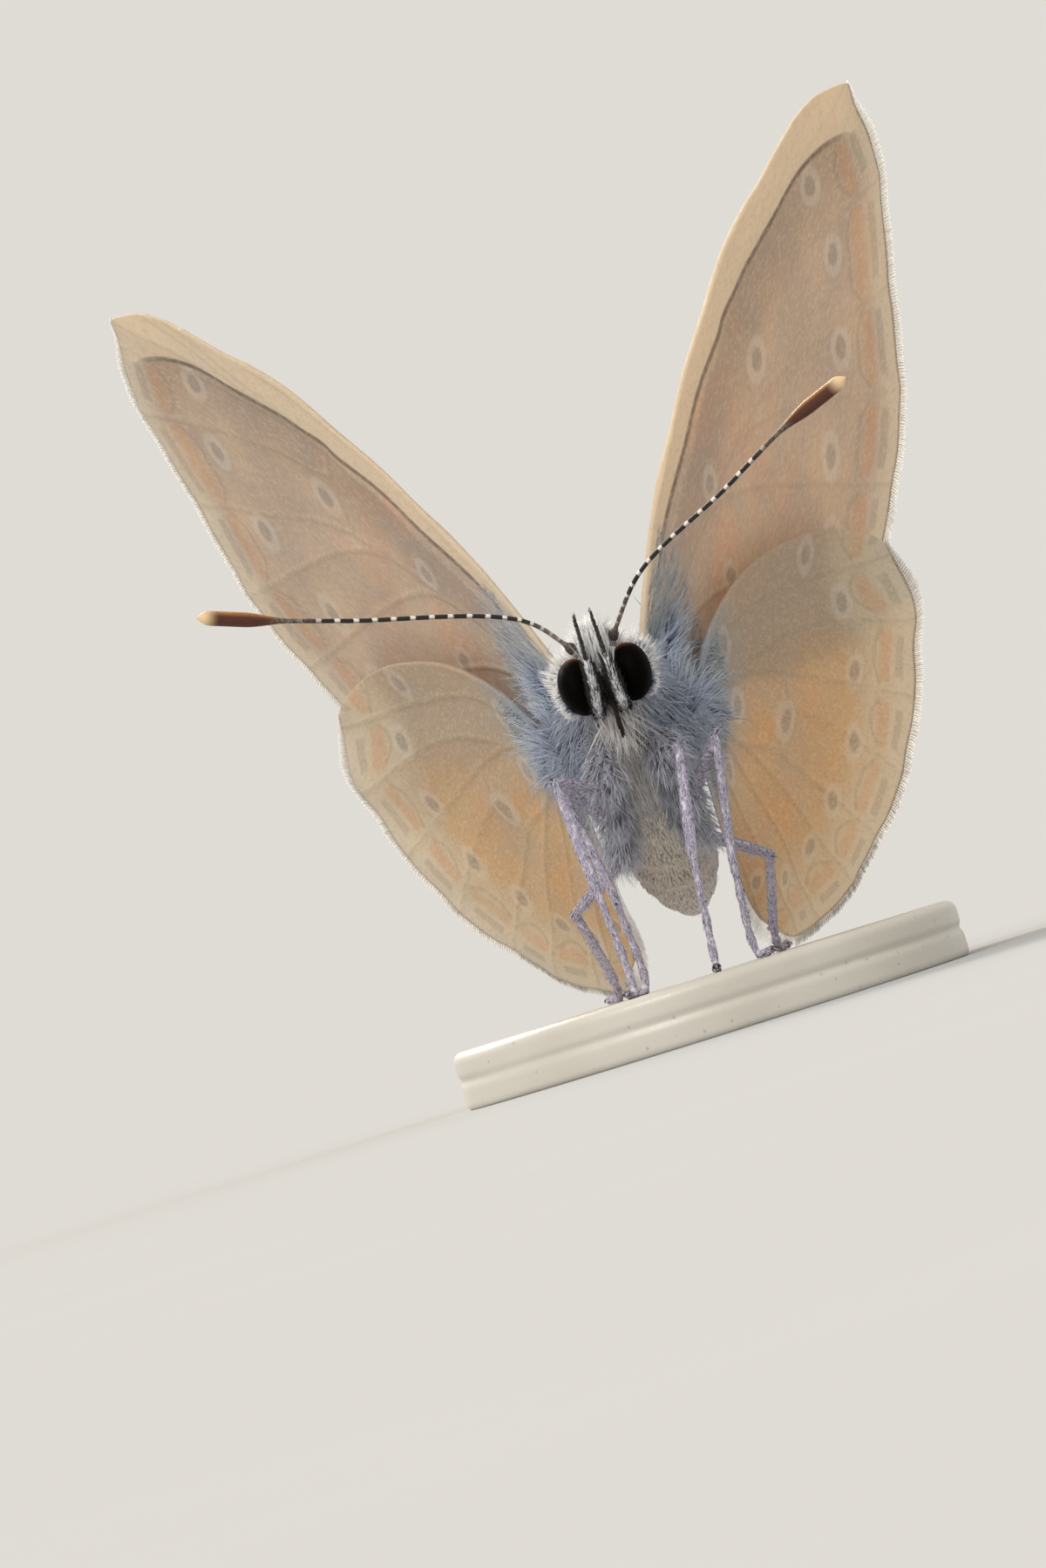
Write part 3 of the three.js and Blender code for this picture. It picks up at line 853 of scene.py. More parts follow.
def skin(tubes):
    """One closed skin over all the flesh, coloured by the part that each place belongs to."""
    points, faces = joined(tubes, SKIN_RINGS, SKIN_SIDES)
    per_tube = len(points) // len(tubes)
    rough = bpy.data.meshes.new("rough_skin")
    rough.from_pydata(points.tolist(), [], faces)
    maker = placed("rough_skin", rough)
    remesh = maker.modifiers.new("remesh", "REMESH")
    remesh.mode = "VOXEL"
    remesh.voxel_size = SKIN_VOXEL
    relax = maker.modifiers.new("relax", "SMOOTH")
    relax.factor = SKIN_RELAX
    relax.iterations = SKIN_RELAX_ROUNDS
    graph = bpy.context.evaluated_depsgraph_get()
    mesh = bpy.data.meshes.new_from_object(maker.evaluated_get(graph))
    bpy.data.objects.remove(maker)
    bpy.data.meshes.remove(rough)
    tree = KDTree(len(points))
    for i, point in enumerate(points):
        tree.insert(point, i)
    tree.balance()
    palette = {name: colour(*tint) for name, tint in SKIN_COLOURS.items()}
    paint = []
    for vertex in mesh.vertices:
        name = tubes[tree.find(vertex.co)[1] // per_tube].name.split("_")[0]
        name = "back" if name == "abdomen" and vertex.normal.z > LOOKS_UP else name
        paint.append(palette[name])
    set_field(mesh, "paint", relaxed(mesh, np.array(paint), PAINT_ROUNDS))
    mesh.materials.clear()
    mesh.materials.append(skin_finish())
    mesh.transform(Matrix.Scale(MM, 4))
    mesh.shade_smooth()
    mesh.name = "skin"
    return placed("skin", mesh)


def relaxed(mesh, values, rounds):
    """Values per point of a mesh, spread a little into their neighbours."""
    edges = np.zeros(len(mesh.edges) * 2, np.int32)
    mesh.edges.foreach_get("vertices", edges)
    a, b = edges.reshape(-1, 2).T
    degree = np.bincount(np.concatenate([a, b]), minlength=len(values))[:, None]
    for _ in range(rounds):
        total = np.zeros_like(values)
        np.add.at(total, a, values[b])
        np.add.at(total, b, values[a])
        values = mix(values, total / np.maximum(degree, 1), 0.5)
    return values


# ---- Wings ----------------------------------------------------------------------------------

class Wing:
    """A wing as a flat outline, set in the model by its hinge. Flat places are millimetres out
    along the wing and toward its hind edge. Reach runs from root to outer edge, and slip from
    leading to trailing edge, both from 0 to 1."""

    def __init__(self, kind, side_name, hinge, opened, sweep, bend, edges):
        self.kind = kind
        self.name = f"{kind}wing_{side_name}"
        self.side = SIDES[side_name]
        self.hinge = hinge
        self.opened = math.radians(opened)
        self.sweep = math.radians(sweep)
        self.bend = bend
        self.edges = edges

    def edge(self, which, t):
        return bezier(self.edges[which], t)

    def sheet(self, reach, slip):
        reach, slip = np.broadcast_arrays(reach, slip)
        r, s = reach[..., None], slip[..., None]
        lead = [self.edge("leading", np.float64(k)) for k in (0, 1)]
        trail = [self.edge("trailing", np.float64(k)) for k in (0, 1)]
        span = mix(self.edge("leading", reach), self.edge("trailing", reach), s)
        chord = mix(mix(lead[0], trail[0], s), self.edge("outer", slip), r)
        corners = mix(mix(lead[0], lead[1], r), mix(trail[0], trail[1], r), s)
        return span + chord - corners

    def place(self, flat, off=0.0):
        """Flat places in the model. Off is a distance toward the wing's underside."""
        x, y = flat[..., 0], flat[..., 1]
        out = x * math.cos(self.sweep) + y * math.sin(self.sweep)
        ahead = x * math.sin(self.sweep) - y * math.cos(self.sweep)
        reach = np.maximum(out, 0) / BEND_SPAN
        bend = self.bend * reach**2
        slope = self.opened + np.arctan(2 * self.bend * reach / BEND_SPAN)
        sideways = out * math.sin(self.opened) + bend * math.cos(self.opened)
        above = out * math.cos(self.opened) - bend * math.sin(self.opened)
        sideways = sideways + off * np.cos(slope)
        above = above - off * np.sin(slope)
        aside, forth, high = self.hinge
        spot = valley.at(self.side * (aside + sideways), forth + ahead, high + above)
        sag = np.maximum(0, ROOTS[2] + SAG_LEVEL - spot[..., 2])
        spot[..., 2] += SAG_LIFT * sag**2
        spot[..., 1] += SAG_BACK * sag**2
        return spot


L = FORE_LENGTH
# Each edge is a Bezier curve through the flat: its first and last points, and two that pull it.
FORE_EDGES = {
    "leading": [(0, -0.5), (0.22 * L, -0.145 * L), (0.85 * L, -0.135 * L), (0.985 * L, 0.035 * L)],
    "outer": [(0.985 * L, 0.035 * L), (1.055 * L, 0.14 * L), (0.768 * L, 0.512 * L),
              (0.584 * L, 0.5 * L)],
    "trailing": [(0, 1.4), (0.16 * L, 0.24 * L), (0.46 * L, 0.475 * L), (0.584 * L, 0.5 * L)],
}
HIND_EDGES = {
    "leading": [(0, -0.9), (0.8, -3.0), (5.2, -5.2), (8.7, -4.5)],
    "outer": [(8.7, -4.5), (13.2, -3.3), (10.4, 4.6), (6.4, 5.2)],
    "trailing": [(0, 0.9), (1.6, 3.2), (4.0, 5.3), (6.4, 5.2)],
}
# Each vein: flat points that it starts along, and the edge and place on it where it ends.
VEINS = {
    "fore": [
        ([(0.0, -0.3), (5.0, -1.75)], "leading", 0.62),
        ([(0.0, -0.1), (5.5, -0.75)], "leading", 0.75),
        ([(0.0, -0.1), (5.5, -0.72), (8.2, -0.85)], "leading", 0.86),
        ([(0.0, -0.1), (5.5, -0.72), (8.6, -0.8)], "leading", 0.97),
        ([(8.2, -0.75), (10.5, -0.5)], "outer", 0.12),
        ([(8.15, -0.1), (10.5, 0.6)], "outer", 0.3),
        ([(0.0, 0.2), (4.0, 0.75), (7.7, 1.35), (9.8, 2.4)], "outer", 0.5),
        ([(0.0, 0.2), (4.0, 0.75), (6.9, 1.3)], "outer", 0.68),
        ([(0.0, 0.2), (2.8, 0.6), (4.9, 1.15)], "outer", 0.86),
        ([(0.0, 0.45), (3.0, 1.9)], "trailing", 0.97),
        ([(8.2, -0.8), (8.05, -0.1)], None, (7.7, 1.35)),
    ],
    "hind": [
        ([(0.0, -0.3), (2.2, -2.3)], "outer", 0.03),
        ([(0.0, 0.0), (2.0, -1.0), (4.4, -2.2)], "outer", 0.2),
        ([(0.0, 0.0), (2.0, -1.0), (4.2, -1.3)], "outer", 0.35),
        ([(4.3, -0.5), (6.0, -0.5)], "outer", 0.49),
        ([(0.0, 0.1), (2.2, 0.4), (4.1, 0.4)], "outer", 0.62),
        ([(0.0, 0.1), (2.2, 0.4), (3.7, 0.9)], "outer", 0.75),
        ([(0.0, 0.1), (2.5, 1.0)], "outer", 0.89),
        ([(0.0, 0.3), (2.2, 1.9)], "trailing", 0.99),
        ([(0.0, 0.5), (1.5, 2.2)], "trailing", 0.66),
        ([(4.2, -1.3), (4.35, -0.5)], None, (4.1, 0.4)),
    ],
}
# Each dark spot of the underside: its reach, slip and radius in millimetres.
SPOTS = {
    "fore": [
        (0.72, 0.07, 0.26), (0.76, 0.2, 0.3), (0.77, 0.36, 0.32), (0.75, 0.52, 0.34),
        (0.68, 0.68, 0.36), (0.66, 0.84, 0.34), (0.51, 0.32, 0.34), (0.32, 0.36, 0.26),
        (0.3, 0.66, 0.26),
    ],
    "hind": [
        (0.2, 0.16, 0.26), (0.24, 0.42, 0.26), (0.2, 0.7, 0.24), (0.46, 0.45, 0.3),
        (0.62, 0.06, 0.28), (0.7, 0.19, 0.28), (0.74, 0.33, 0.28), (0.75, 0.46, 0.28),
        (0.72, 0.58, 0.28), (0.68, 0.7, 0.28), (0.62, 0.82, 0.26), (0.5, 0.92, 0.24),
    ],
}
WING_GRID = {"fore": (170, 110), "hind": (140, 120)}
# Each kind's hinge, sideways, ahead and up in the wings' frame, then in degrees how far it is
# opened and swept back, its bend at BEND_SPAN, and its edges.
WING_KINDS = {
    "fore": ((0.98, 0.7, 0.12), 25.4, 15.4, 0.5, FORE_EDGES),
    "hind": ((1.56, -0.9, -0.14), 24.2, -43.0, 1.6, HIND_EDGES),
}


def distance_to(points, line):
    """Each point's distance to a line of short straight stretches."""
    nearest = np.full(points.shape[:-1], 1e9)
    for a, b in zip(line, line[1:]):
        way = b - a
        t = np.clip(((points - a) @ way) / (way @ way + 1e-12), 0, 1)
        nearest = np.minimum(nearest, np.linalg.norm(points - a - t[..., None] * way, axis=-1))
    return nearest


def vein_lines(wing):
    for starts, edge, end in VEINS[wing.kind]:
        finish = end if edge is None else wing.edge(edge, np.float64(end))
        yield through([*starts, finish], 26)


def wing_fields(wing):
    """The membrane's flat places and, at each, what the wing's pattern is made from."""
    rows, columns = WING_GRID[wing.kind]
    reach, slip = np.meshgrid(np.linspace(0, 1, rows), np.linspace(0, 1, columns), indexing="ij")
    span = np.linalg.norm(wing.sheet(1.0, slip) - wing.sheet(0.0, slip), axis=-1)
    gap = FRINGE * mix(0.35, 1.0, ramp(slip, 0.0, 0.14))
    flat = wing.sheet(reach * (1 - gap / span), slip)
    lead = wing.edge("leading", np.linspace(0, 1, 50))
    veins = [distance_to(flat, line) for line in vein_lines(wing)]
    crease = sum((1 if k % 2 else -1) * bell(d, CREASE_WIDTH) for k, d in enumerate(veins))
    spot = np.full(reach.shape, 9.0)
    for at, across, radius in SPOTS[wing.kind]:
        middle = wing.sheet(np.float64(at), np.float64(across))
        spot = np.minimum(spot, np.linalg.norm(flat - middle, axis=-1) / radius)
    return {
        "reach": reach, "flat": flat, "crease": crease, "spot": spot,
        "vein": np.min(veins, axis=0), "margin": distance_to(flat, flat[-1, ::3]),
        "coast": distance_to(flat, lead),
    }


def membrane_offsets(fields):
    """How far the membrane's middle stands off the sheet, and half its thickness."""
    x, y = fields["flat"][..., 0], fields["flat"][..., 1]
    out = ramp(fields["reach"], 0.0, 0.35)
    ripple = RIPPLE * np.sin(1.3 * x + 0.8 * y) * np.cos(0.9 * y - 0.5 * x)
    edge_ripple = RIPPLE * np.sin(2.6 * y + 1.7 * x) * ramp(fields["margin"], 2.5, 0.0)
    middle = out * (CREASE * fields["crease"] + ripple + edge_ripple)
    ridge = VEIN_RIDGE * bell(fields["vein"], VEIN_WIDTH) * (1 - 0.6 * fields["reach"])
    rib = COAST_RIB * bell(fields["coast"], COAST_WIDTH) * (1 - 0.7 * fields["reach"])
    return middle, SHEET_HALF + ridge + rib


def grid_faces(rows, columns):
    i, j = np.meshgrid(np.arange(rows - 1), np.arange(columns - 1), indexing="ij")
    a = (i * columns + j).ravel()
    return np.stack([a, a + 1, a + columns + 1, a + columns], -1)


def membrane(wing, fields, finishes):
    """The wing as a thin closed sheet, its underside first. The upper side's flat places lie five
    millimetres off the underside's, so that its scales differ."""
    rows, columns = fields["reach"].shape
    middle, half = membrane_offsets(fields)
    under = wing.place(fields["flat"], middle + half).reshape(-1, 3)
    upper = wing.place(fields["flat"], middle - half).reshape(-1, 3)
    count = rows * columns
    quads = grid_faces(rows, columns)
    loop = np.array([*range(columns), *range(2 * columns - 1, count, columns),
                     *range(count - 2, count - columns - 1, -1),
                     *range(count - 2 * columns, 0, -columns)])
    after = np.roll(loop, -1)
    band = np.stack([loop, loop + count, after + count, after], -1)
    faces = np.vstack([quads, quads[:, ::-1] + count, band])
    slots = np.concatenate([np.zeros(len(quads)), np.ones(len(quads)), np.zeros(len(band))])
    both = {name: np.tile(fields[name].ravel(), 2)
            for name in ("vein", "margin", "coast", "spot", "reach")}
    flat = np.concatenate([fields["flat"].reshape(-1, 2), np.zeros((count, 1))], -1)
    both["flat"] = np.vstack([flat, flat + (0, 0, 5)])
    points = np.vstack([under, upper])
    return add_closed_mesh(wing.name, points, faces, finishes, slots=slots, fields=both)


def scale_relief(f, flat):
    """Rows of overlapping wing scales as relief, and a shade for each scale."""
    distance, tone = f.cells(f.stretched(flat, 10.0, 19.0, 1.0), 1.0)
    fine = f.noise(f.stretched(flat, 30.0, 6.0, 1.0), 1.0, 2.0)
    normal = f.bump(distance, 0.35, 0.015)
    normal = f.bump(f.ramp(f.field("vein"), 0.12, 0.0), 0.5, 0.03, normal)
    return f.bump(fine, 0.15, 0.01, normal), f.red(tone)


def underside_finish(kind):
    """The underside: a beige or ochre ground that pales toward the edge, partly its own pale edge and
    partly a painted glow of light through the thin edge, bluish dust at the root, and faint ringed
    spots, orange patches, crescents and dots along the margin. The forewing has a painted shadow
    line by its pale leading edge with painted shade beside it, and the hindwing has painted shade
    where the forewing overlaps it."""
    f = Finish(f"{kind}wing_underside")
    flat, vein, margin = f.field("flat", "Vector"), f.field("vein"), f.field("margin")
    spot, reach, coast = f.field("spot"), f.field("reach"), f.field("coast")
    normal, shade = scale_relief(f, flat)
    wide = f.noise(flat, 0.32, 2.0)
    patchy = f.noise(f.stretched(flat, 0.5, 0.9, 1.0), 1.0, 3.0)
    if kind == "fore":
        blush = f.both(f.ramp(patchy, 0.42, 0.62), f.ramp(reach, 0.75, 0.35, 0.75))
        # A darker beige-brown strip about 0.8 to 3 mm off the leading edge is painted shade, beside the painted shadow
        # line along the costa.
        costal_painted_shade = f.both(f.ramp(coast, 0.8, 1.0), f.ramp(coast, 3.0, 1.4, 0.45))
        ground = f.coloured((226, 202, 176), (wide, 0.35, 0.65, (206, 188, 172)),
                            (blush, (232, 192, 164)), (costal_painted_shade, (162, 144, 130)))
        dusty = f.ramp(reach, 0.3, 0.04)
    else:
        blush = f.both(f.ramp(patchy, 0.4, 0.65), f.ramp(reach, 0.9, 0.5, 0.6))
        # On the hindwing, the greyer part within about 3.6 mm of the leading edge is painted shade where the forewing
        # overlaps it; the wide cream margin is partly the underside's own pale edge and partly a painted glow of light
        # through the thin outer part.
        ground = f.coloured((230, 196, 148), (wide, 0.35, 0.65, (216, 188, 152)),
                            (blush, (236, 186, 130)), (coast, 3.6, 1.2, 0.75, (202, 186, 166)),
                            (margin, 3.2, 1.5, 0.85, (240, 224, 194)))
        dusty = f.ramp(reach, 0.34, 0.05)
    dust = f.both(dusty, f.ramp(patchy, 0.25, 0.6, bottom=0.55))
    band = f.both(f.ramp(margin, 0.95, 1.15), f.ramp(margin, 1.75, 1.45))
    band = f.both(band, f.ramp(vein, 0.1, 0.3))
    bowed = f.math("SUBTRACT", margin, f.ramp(vein, 0.0, 0.6, 0.2, bottom=-0.25))
    arc = f.both(f.ramp(bowed, 1.55, 1.62), f.ramp(bowed, 1.82, 1.72))
    dot = f.both(f.ramp(margin, 0.42, 0.5), f.ramp(margin, 0.85, 0.75))
    ground = f.coloured(
        ground,
        (dust, (172, 184, 198)),
        # The pale edge within 1.4 mm of the margin is partly the underside's own pale edge and partly a painted glow
        # of light through the thin edge.
        (margin, 1.4, 0.0, 0.8, (248, 238, 218)),
        (f.both(band, f.ramp(wide, 0.3, 0.6, 0.35, bottom=0.1)), (234, 168, 108)),
        (f.both(arc, f.ramp(vein, 0.05, 0.2, 0.16)), (128, 106, 88)),
        (f.both(dot, f.ramp(vein, 0.3, 0.42, 0.2)), (112, 94, 82)),
        (spot, 1.8, 1.3, 0.3, (248, 242, 232)),
        (spot, 1.0, 0.6, 0.34, (104, 88, 76)),
        (vein, 0.07, 0.02, 0.3, (200, 180, 152)),
    )
    if kind == "fore":
        band = f.math("SUBTRACT", coast, f.ramp(reach, 0.15, 0.9, 0.6))
        # The thin dark brown line along the inner side of the pale costal band is a painted shadow, where the costal
        # vein casts its shade.
        line = f.both(f.ramp(band, 0.42, 0.49), f.ramp(band, 0.62, 0.54, 0.7))
        line = f.both(line, f.both(f.ramp(reach, 0.08, 0.22), f.ramp(reach, 0.94, 0.8)))
        ground = f.coloured(ground, (band, 0.5, 0.42, 0.85, (246, 230, 204)), (line, (96, 80, 66)))
    ground = f.coloured(
        ground,
        (margin, 0.1, 0.04, 0.3, (160, 142, 124)),
        (shade, 0.55, 0.95, 0.22, (250, 240, 222)),
        (shade, 0.4, 0.05, 0.12, (150, 130, 112)),
    )
    rough = f.ramp(shade, 0.0, 1.0, 0.75, bottom=0.5)
    return f.surface(ground, rough, normal, see_through=0.45, Sheen_Weight=0.15)


def upper_finish(kind):
    """The upper side: pale silvery blue with a thin dark edge and a whitish leading edge."""
    f = Finish(f"{kind}wing_upper")
    flat = f.field("flat", "Vector")
    normal, shade = scale_relief(f, flat)
    ground = f.coloured(
        (166, 178, 214),
        (f.noise(flat, 0.4, 3.0), 0.3, 0.7, (188, 194, 218)),
        (f.field("reach"), 0.3, 0.0, 0.6, (150, 168, 204)),
        (f.field("coast"), 1.0, 0.2, 0.8, (226, 224, 228)),
        (f.field("vein"), 0.08, 0.02, 0.5, (132, 140, 170)),
        (f.field("margin"), 0.75, 0.1, 0.85, (86, 80, 88)),
        (shade, 0.55, 0.95, 0.35, (222, 228, 244)),
    )
    rough = f.ramp(shade, 0.0, 1.0, 0.6, bottom=0.35)
    return f.surface(ground, rough, normal, see_through=0.42, glow=colour(214, 186, 150),
                     Sheen_Weight=0.2)


def sheet_way(wing, flat, way):
    """A flat direction at flat places, as a direction in the model."""
    return unit(wing.place(flat + way * 0.05) - wing.place(flat))


def edge_roots(wing, fields, rng):
    """Two rows of roots along the membrane's outer and trailing edges, pointing off the edge."""
    flat = fields["flat"]
    middle, _ = membrane_offsets(fields)
    inner = int(len(flat) * FRINGE_STARTS)
    line = np.vstack([flat[-1], flat[inner:, -1][::-1][1:]])
    offsets = np.concatenate([middle[-1], middle[inner:, -1][::-1][1:]])
    length = running(stretches(line))
    count = int(length[-1] * FRINGE_PER_MM)
    step = length[-1] / count
    s = (np.arange(count) + rng.uniform(0.45, 0.55, count)) * step
    row = np.where(np.arange(count) % 2, 0.5, -0.5) * FRINGE_ROWS_APART
    spot = read_rows(s, length, line)
    along = unit(read_rows(s + 0.1, length, line) - read_rows(s - 0.1, length, line))
    away = np.stack([along[:, 1], -along[:, 0]], -1)
    away *= same_side(away, spot - flat.reshape(-1, 2).mean(0))
    flow = sheet_way(wing, spot, away)
    normal = unit(np.cross(flow, sheet_way(wing, spot, along)))
    place = wing.place(spot - away * FRINGE_ROOT, np.interp(s, length, offsets) + row)
    return Roots(place, normal, flow, 0.05 + 0.9 * s / length[-1], np.full(count, 0.5))


def base_roots(wing, rng, count, far):
    """Roots on the underside near the wing's root, lying outward."""
    reach = rng.uniform(0.0, 1.0, count) ** 1.3 * far
    slip = rng.uniform(0.04, 0.96, count)
    flat = wing.sheet(reach, slip)
    flow = sheet_way(wing, flat, np.array([1.0, 0.0]))
    across = sheet_way(wing, flat, np.array([0.0, 1.0]))
    normal = unit(np.cross(flow, across))
    normal *= same_side(normal, unit(wing.place(flat, 0.1) - wing.place(flat, 0.0)))
    return Roots(wing.place(flat, 0.03), normal, flow, reach / far * 0.9 + 0.05, slip)


# ---- Head parts -----------------------------------------------------------------------------

def eye_place(side, around, ahead_angle, grow=0.0):
    """A place on the eye and its normal. Around runs about the eye's forward axis from its outer
    side upward, and ahead_angle is its latitude toward the front, both in radians."""
    size = EYE_RADII + grow
    x = size[0] * np.cos(around) * np.cos(ahead_angle)
    a = size[1] * np.sin(ahead_angle)
    u = size[2] * np.sin(around) * np.cos(ahead_angle)
    nx, na, nu = x / size[0] ** 2, a / size[1] ** 2, u / size[2] ** 2
    turn = math.radians(EYE_TURN)
    cos, sin = math.cos(turn), math.sin(turn)

    def turned(sideways, ahead):
        return sideways * cos + ahead * sin, -sideways * sin + ahead * cos

    sideways, ahead = turned(x, a)
    place = face.at(side * (EYE_CENTRE[0] + sideways), EYE_CENTRE[1] + ahead, EYE_CENTRE[2] + u)
    ns, nf = turned(nx, na)
    return place, unit(face.direction(side * ns, nf, nu))


def clear_of_eyes(roots, length, lift):
    """The roots whose tufts don't cross an eye."""
    tilt = math.radians(lift)
    free = np.ones(len(roots), bool)
    for share in (0.0, 0.4, 0.7, 1.0):
        away = roots.flow * math.cos(tilt) + roots.normal * math.sin(tilt)
        place = roots.place + away * (length * share)
        for side in SIDES.values():
            local = place - face.at(side * EYE_CENTRE[0], EYE_CENTRE[1], EYE_CENTRE[2])
            turn = math.radians(EYE_TURN) * side
            sideways, ahead, up = local[:, 0], local @ face.forward, local @ face.up
            across = sideways * math.cos(turn) - ahead * math.sin(turn)
            along = sideways * math.sin(turn) + ahead * math.cos(turn)
            size = EYE_RADII + EYE_CLEARANCE
            depth = (across / size[0]) ** 2 + (along / size[1]) ** 2 + (up / size[2]) ** 2
            free &= (depth > 1.0) | (ahead < EYE_REAR)
    return roots.kept(free)


def eye(side_name, finish):
    side = SIDES[side_name]
    pole = math.pi / 2
    latitude = np.linspace(-pole, pole, EYE_ROWS + 2)[1:-1]
    place, _ = eye_place(side, full_turn(EYE_COLUMNS)[None, :], latitude[:, None])
    poles = [eye_place(side, np.zeros(1), np.full(1, end))[0] for end in (-pole, pole)]
    points = np.vstack([place.reshape(-1, 3), *poles])
    local = points - face.origin
    edge = ramp(local @ face.up, 0.1, 0.32) * ramp(local @ face.forward, -0.1, 0.25)
    faces = ring_faces(EYE_ROWS, EYE_COLUMNS)
    return add_closed_mesh(f"eye_{side_name}", points, faces, [finish], fields={"edge": edge})


def eye_finish():
    """Black, fine-faceted, with a warm brown upper edge."""
    f = Finish("eye")
    facets, tone = f.cells(f.place(), 26.0)
    base = f.coloured((4, 3, 2), (f.field("edge"), (124, 64, 28)),
                      (facets, 0.35, 0.6, 0.3, (3, 2, 2)))
    rough = f.ramp(f.red(tone), 0.0, 1.0, 0.62, bottom=0.5)
    return f.surface(base, rough, f.bump(facets, 0.3, 0.008), Specular_IOR_Level=0.03)


# Points that each feeler runs through, from the wing roots.
FEELER_LINES = {
    "left": [(0.25, -2.85, 1.02), (1.18, -3.7, 2.07), (3.19, -4.8, 3.04), (4.66, -5.7, 3.8),
             (6.05, -6.5, 4.32)],
    "right": [(-0.54, -2.85, 1.0), (-1.35, -3.1, 1.86), (-4.66, -3.9, 2.85), (-5.97, -4.3, 3.24),
              (-7.5, -4.8, 3.75)],
}


def feeler(side_name, finish):
    """A thin jointed stem on a thick first joint, swelling into a club with a blunt tip."""
    line = through([from_roots(*p) for p in FEELER_LINES[side_name]], 400)
    shape = Tube(f"feeler_{side_name}", line, [1.0, 1.0, 1.0], cap=0.12, reference=UPWARD)
    t = np.linspace(0.0005, 0.9995, FEELER_RINGS)
    s = t * shape.length
    club_start = shape.length - CLUB_LENGTH
    spacing = mix(RING_SPACING[0], RING_SPACING[1], ramp(s, 0.2, 2.4))
    count = running(np.diff(s) / spacing[1:])
    phase = count - np.floor(count)
    joint = 1 - 0.16 * bell(phase, 0.07, 0.02) + 0.07 * bell(phase, 0.08, 0.16)
    stem = FEELER_RADIUS * mix(joint, 1.0, ramp(s, club_start - 1.2, club_start))
    scape = 0.075 * np.exp(-(s / 0.19) ** 4)
    shoulder = ramp(s, club_start - 0.25, club_start + 0.75)
    ending = np.sqrt(np.clip(1 - ramp(s, shape.length - 0.35, shape.length) ** 2, 0.02, 1))
    radius = (stem + scape + (CLUB_RADIUS - FEELER_RADIUS) * shoulder) * ending
    angle = full_turn(FEELER_SIDES)
    wide = radius[:, None] * np.cos(angle)
    tall = (radius * mix(1.0, CLUB_FLATNESS, shoulder))[:, None] * np.sin(angle)
    points = shape.beside(t[:, None] + 0 * wide, wide, tall).reshape(-1, 3)
    points = np.vstack([points, read_rows(t[[0, -1]], shape.t, shape.line)])

    def at_points(values, first, last):
        return np.concatenate([np.repeat(values, FEELER_SIDES), [first, last]])

    fields = {
        "distance": at_points(s, 0.0, shape.length),
        "to_tip": at_points(shape.length - s, shape.length, 0.0),
        "rings": at_points(count, 0.0, count[-1]),
        "around": np.concatenate([np.tile(np.cos(angle), FEELER_RINGS), [0.0, 0.0]]),
    }
    faces = ring_faces(FEELER_RINGS, FEELER_SIDES)
    return add_closed_mesh(f"feeler_{side_name}", points, faces, [finish], fields=fields)


def feeler_finish():
    """Black with narrow white rings, greyish at the base, and a red-brown club with a pale tip."""
    f = Finish("feeler")
    s, to_tip, around = f.field("distance"), f.field("to_tip"), f.field("around")
    speck = f.noise(f.place(), 30.0, 2.0)
    phase = f.math("FRACT", f.field("rings"))
    wobble = f.math("ADD", phase, f.math("MULTIPLY", f.math("SUBTRACT", speck, 0.5), 0.14))
    ring = f.both(f.ramp(wobble, 0.02, 0.06), f.ramp(wobble, 0.36, 0.31))
    fading = f.both(f.ramp(to_tip, CLUB_LENGTH + 0.1, CLUB_LENGTH + 1.2, bottom=0.12),
                    f.ramp(around, -0.9, 0.1, bottom=0.35))
    grey = f.coloured((168, 152, 142), (speck, 0.35, 0.65, (96, 84, 78)))
    fuzz = f.coloured((22, 18, 17), (speck, 0.42, 0.55, (150, 132, 118)))
    stem = f.coloured(
        (16, 13, 12),
        (f.both(ring, fading), (236, 228, 220)),
        (s, 1.3, 0.5, 0.6, grey),
        (s, 0.3, 0.2, 0.85, (52, 42, 38)),
        (to_tip, CLUB_LENGTH + 1.0, CLUB_LENGTH, 0.8, fuzz),
    )
    club = f.coloured(
        (72, 30, 10),
        (around, 0.1, 1.0, (196, 132, 66)),
        (speck, 0.4, 0.7, 0.5, (98, 48, 20)),
        (to_tip, 0.45, 0.1, (232, 200, 156)),
    )
    base = f.coloured(stem, (to_tip, CLUB_LENGTH + 0.15, CLUB_LENGTH - 0.35, club))
    rows, _ = f.cells(f.place(), 34.0)
    rough = f.ramp(speck, 0.3, 0.7, 0.65, bottom=0.4)
    return f.surface(base, rough, f.bump(rows, 0.4, 0.012))


def tongue():
    """The coiled tongue under the face, between the palps."""
    share = np.linspace(0, 1, COIL_STEPS)
    angle = share * COIL_TURNS * 2 * math.pi
    coil = COIL_RADIUS * (1 - COIL_TIGHTENING * share)
    ring = face.at(0.0, 0.05 + coil * np.cos(angle), -1.12 - coil * np.sin(angle))
    stalk = through([face.at(0, 0.2, -0.55), face.at(0, 0.38, -0.9), ring[0]], 20)
    tube = Tube("tongue", np.vstack([stalk, ring[1:]]), [0.055, 0.05, 0.045, 0.03], cap=0.03)
    points, faces, t = tube.mesh(rings=260, sides=12)
    f = Finish("tongue")
    rings = f.math("SINE", f.math("MULTIPLY", f.field("along"), 900.0))
    speck = f.noise(f.place(), 14.0, 3.0)
    base = f.coloured((24, 18, 15), (speck, 0.35, 0.7, (48, 34, 25)),
                      (rings, -1.0, 1.0, 0.3, (14, 10, 8)))
    rough = f.ramp(speck, 0.3, 0.7, 0.7, bottom=0.5)
    material = f.surface(base, rough, f.bump(rings, 0.4, 0.01), Specular_IOR_Level=0.15)
    return add_closed_mesh("tongue", points, faces, [material], fields={"along": t})


# ---- Coats ----------------------------------------------------------------------------------

def grow(slot, name, roots, finish, rng, **shape):
    """A coat piece. It takes its finish from the slot."""
    belongs(tufts(name, roots, finish, rng, **shape), slot)


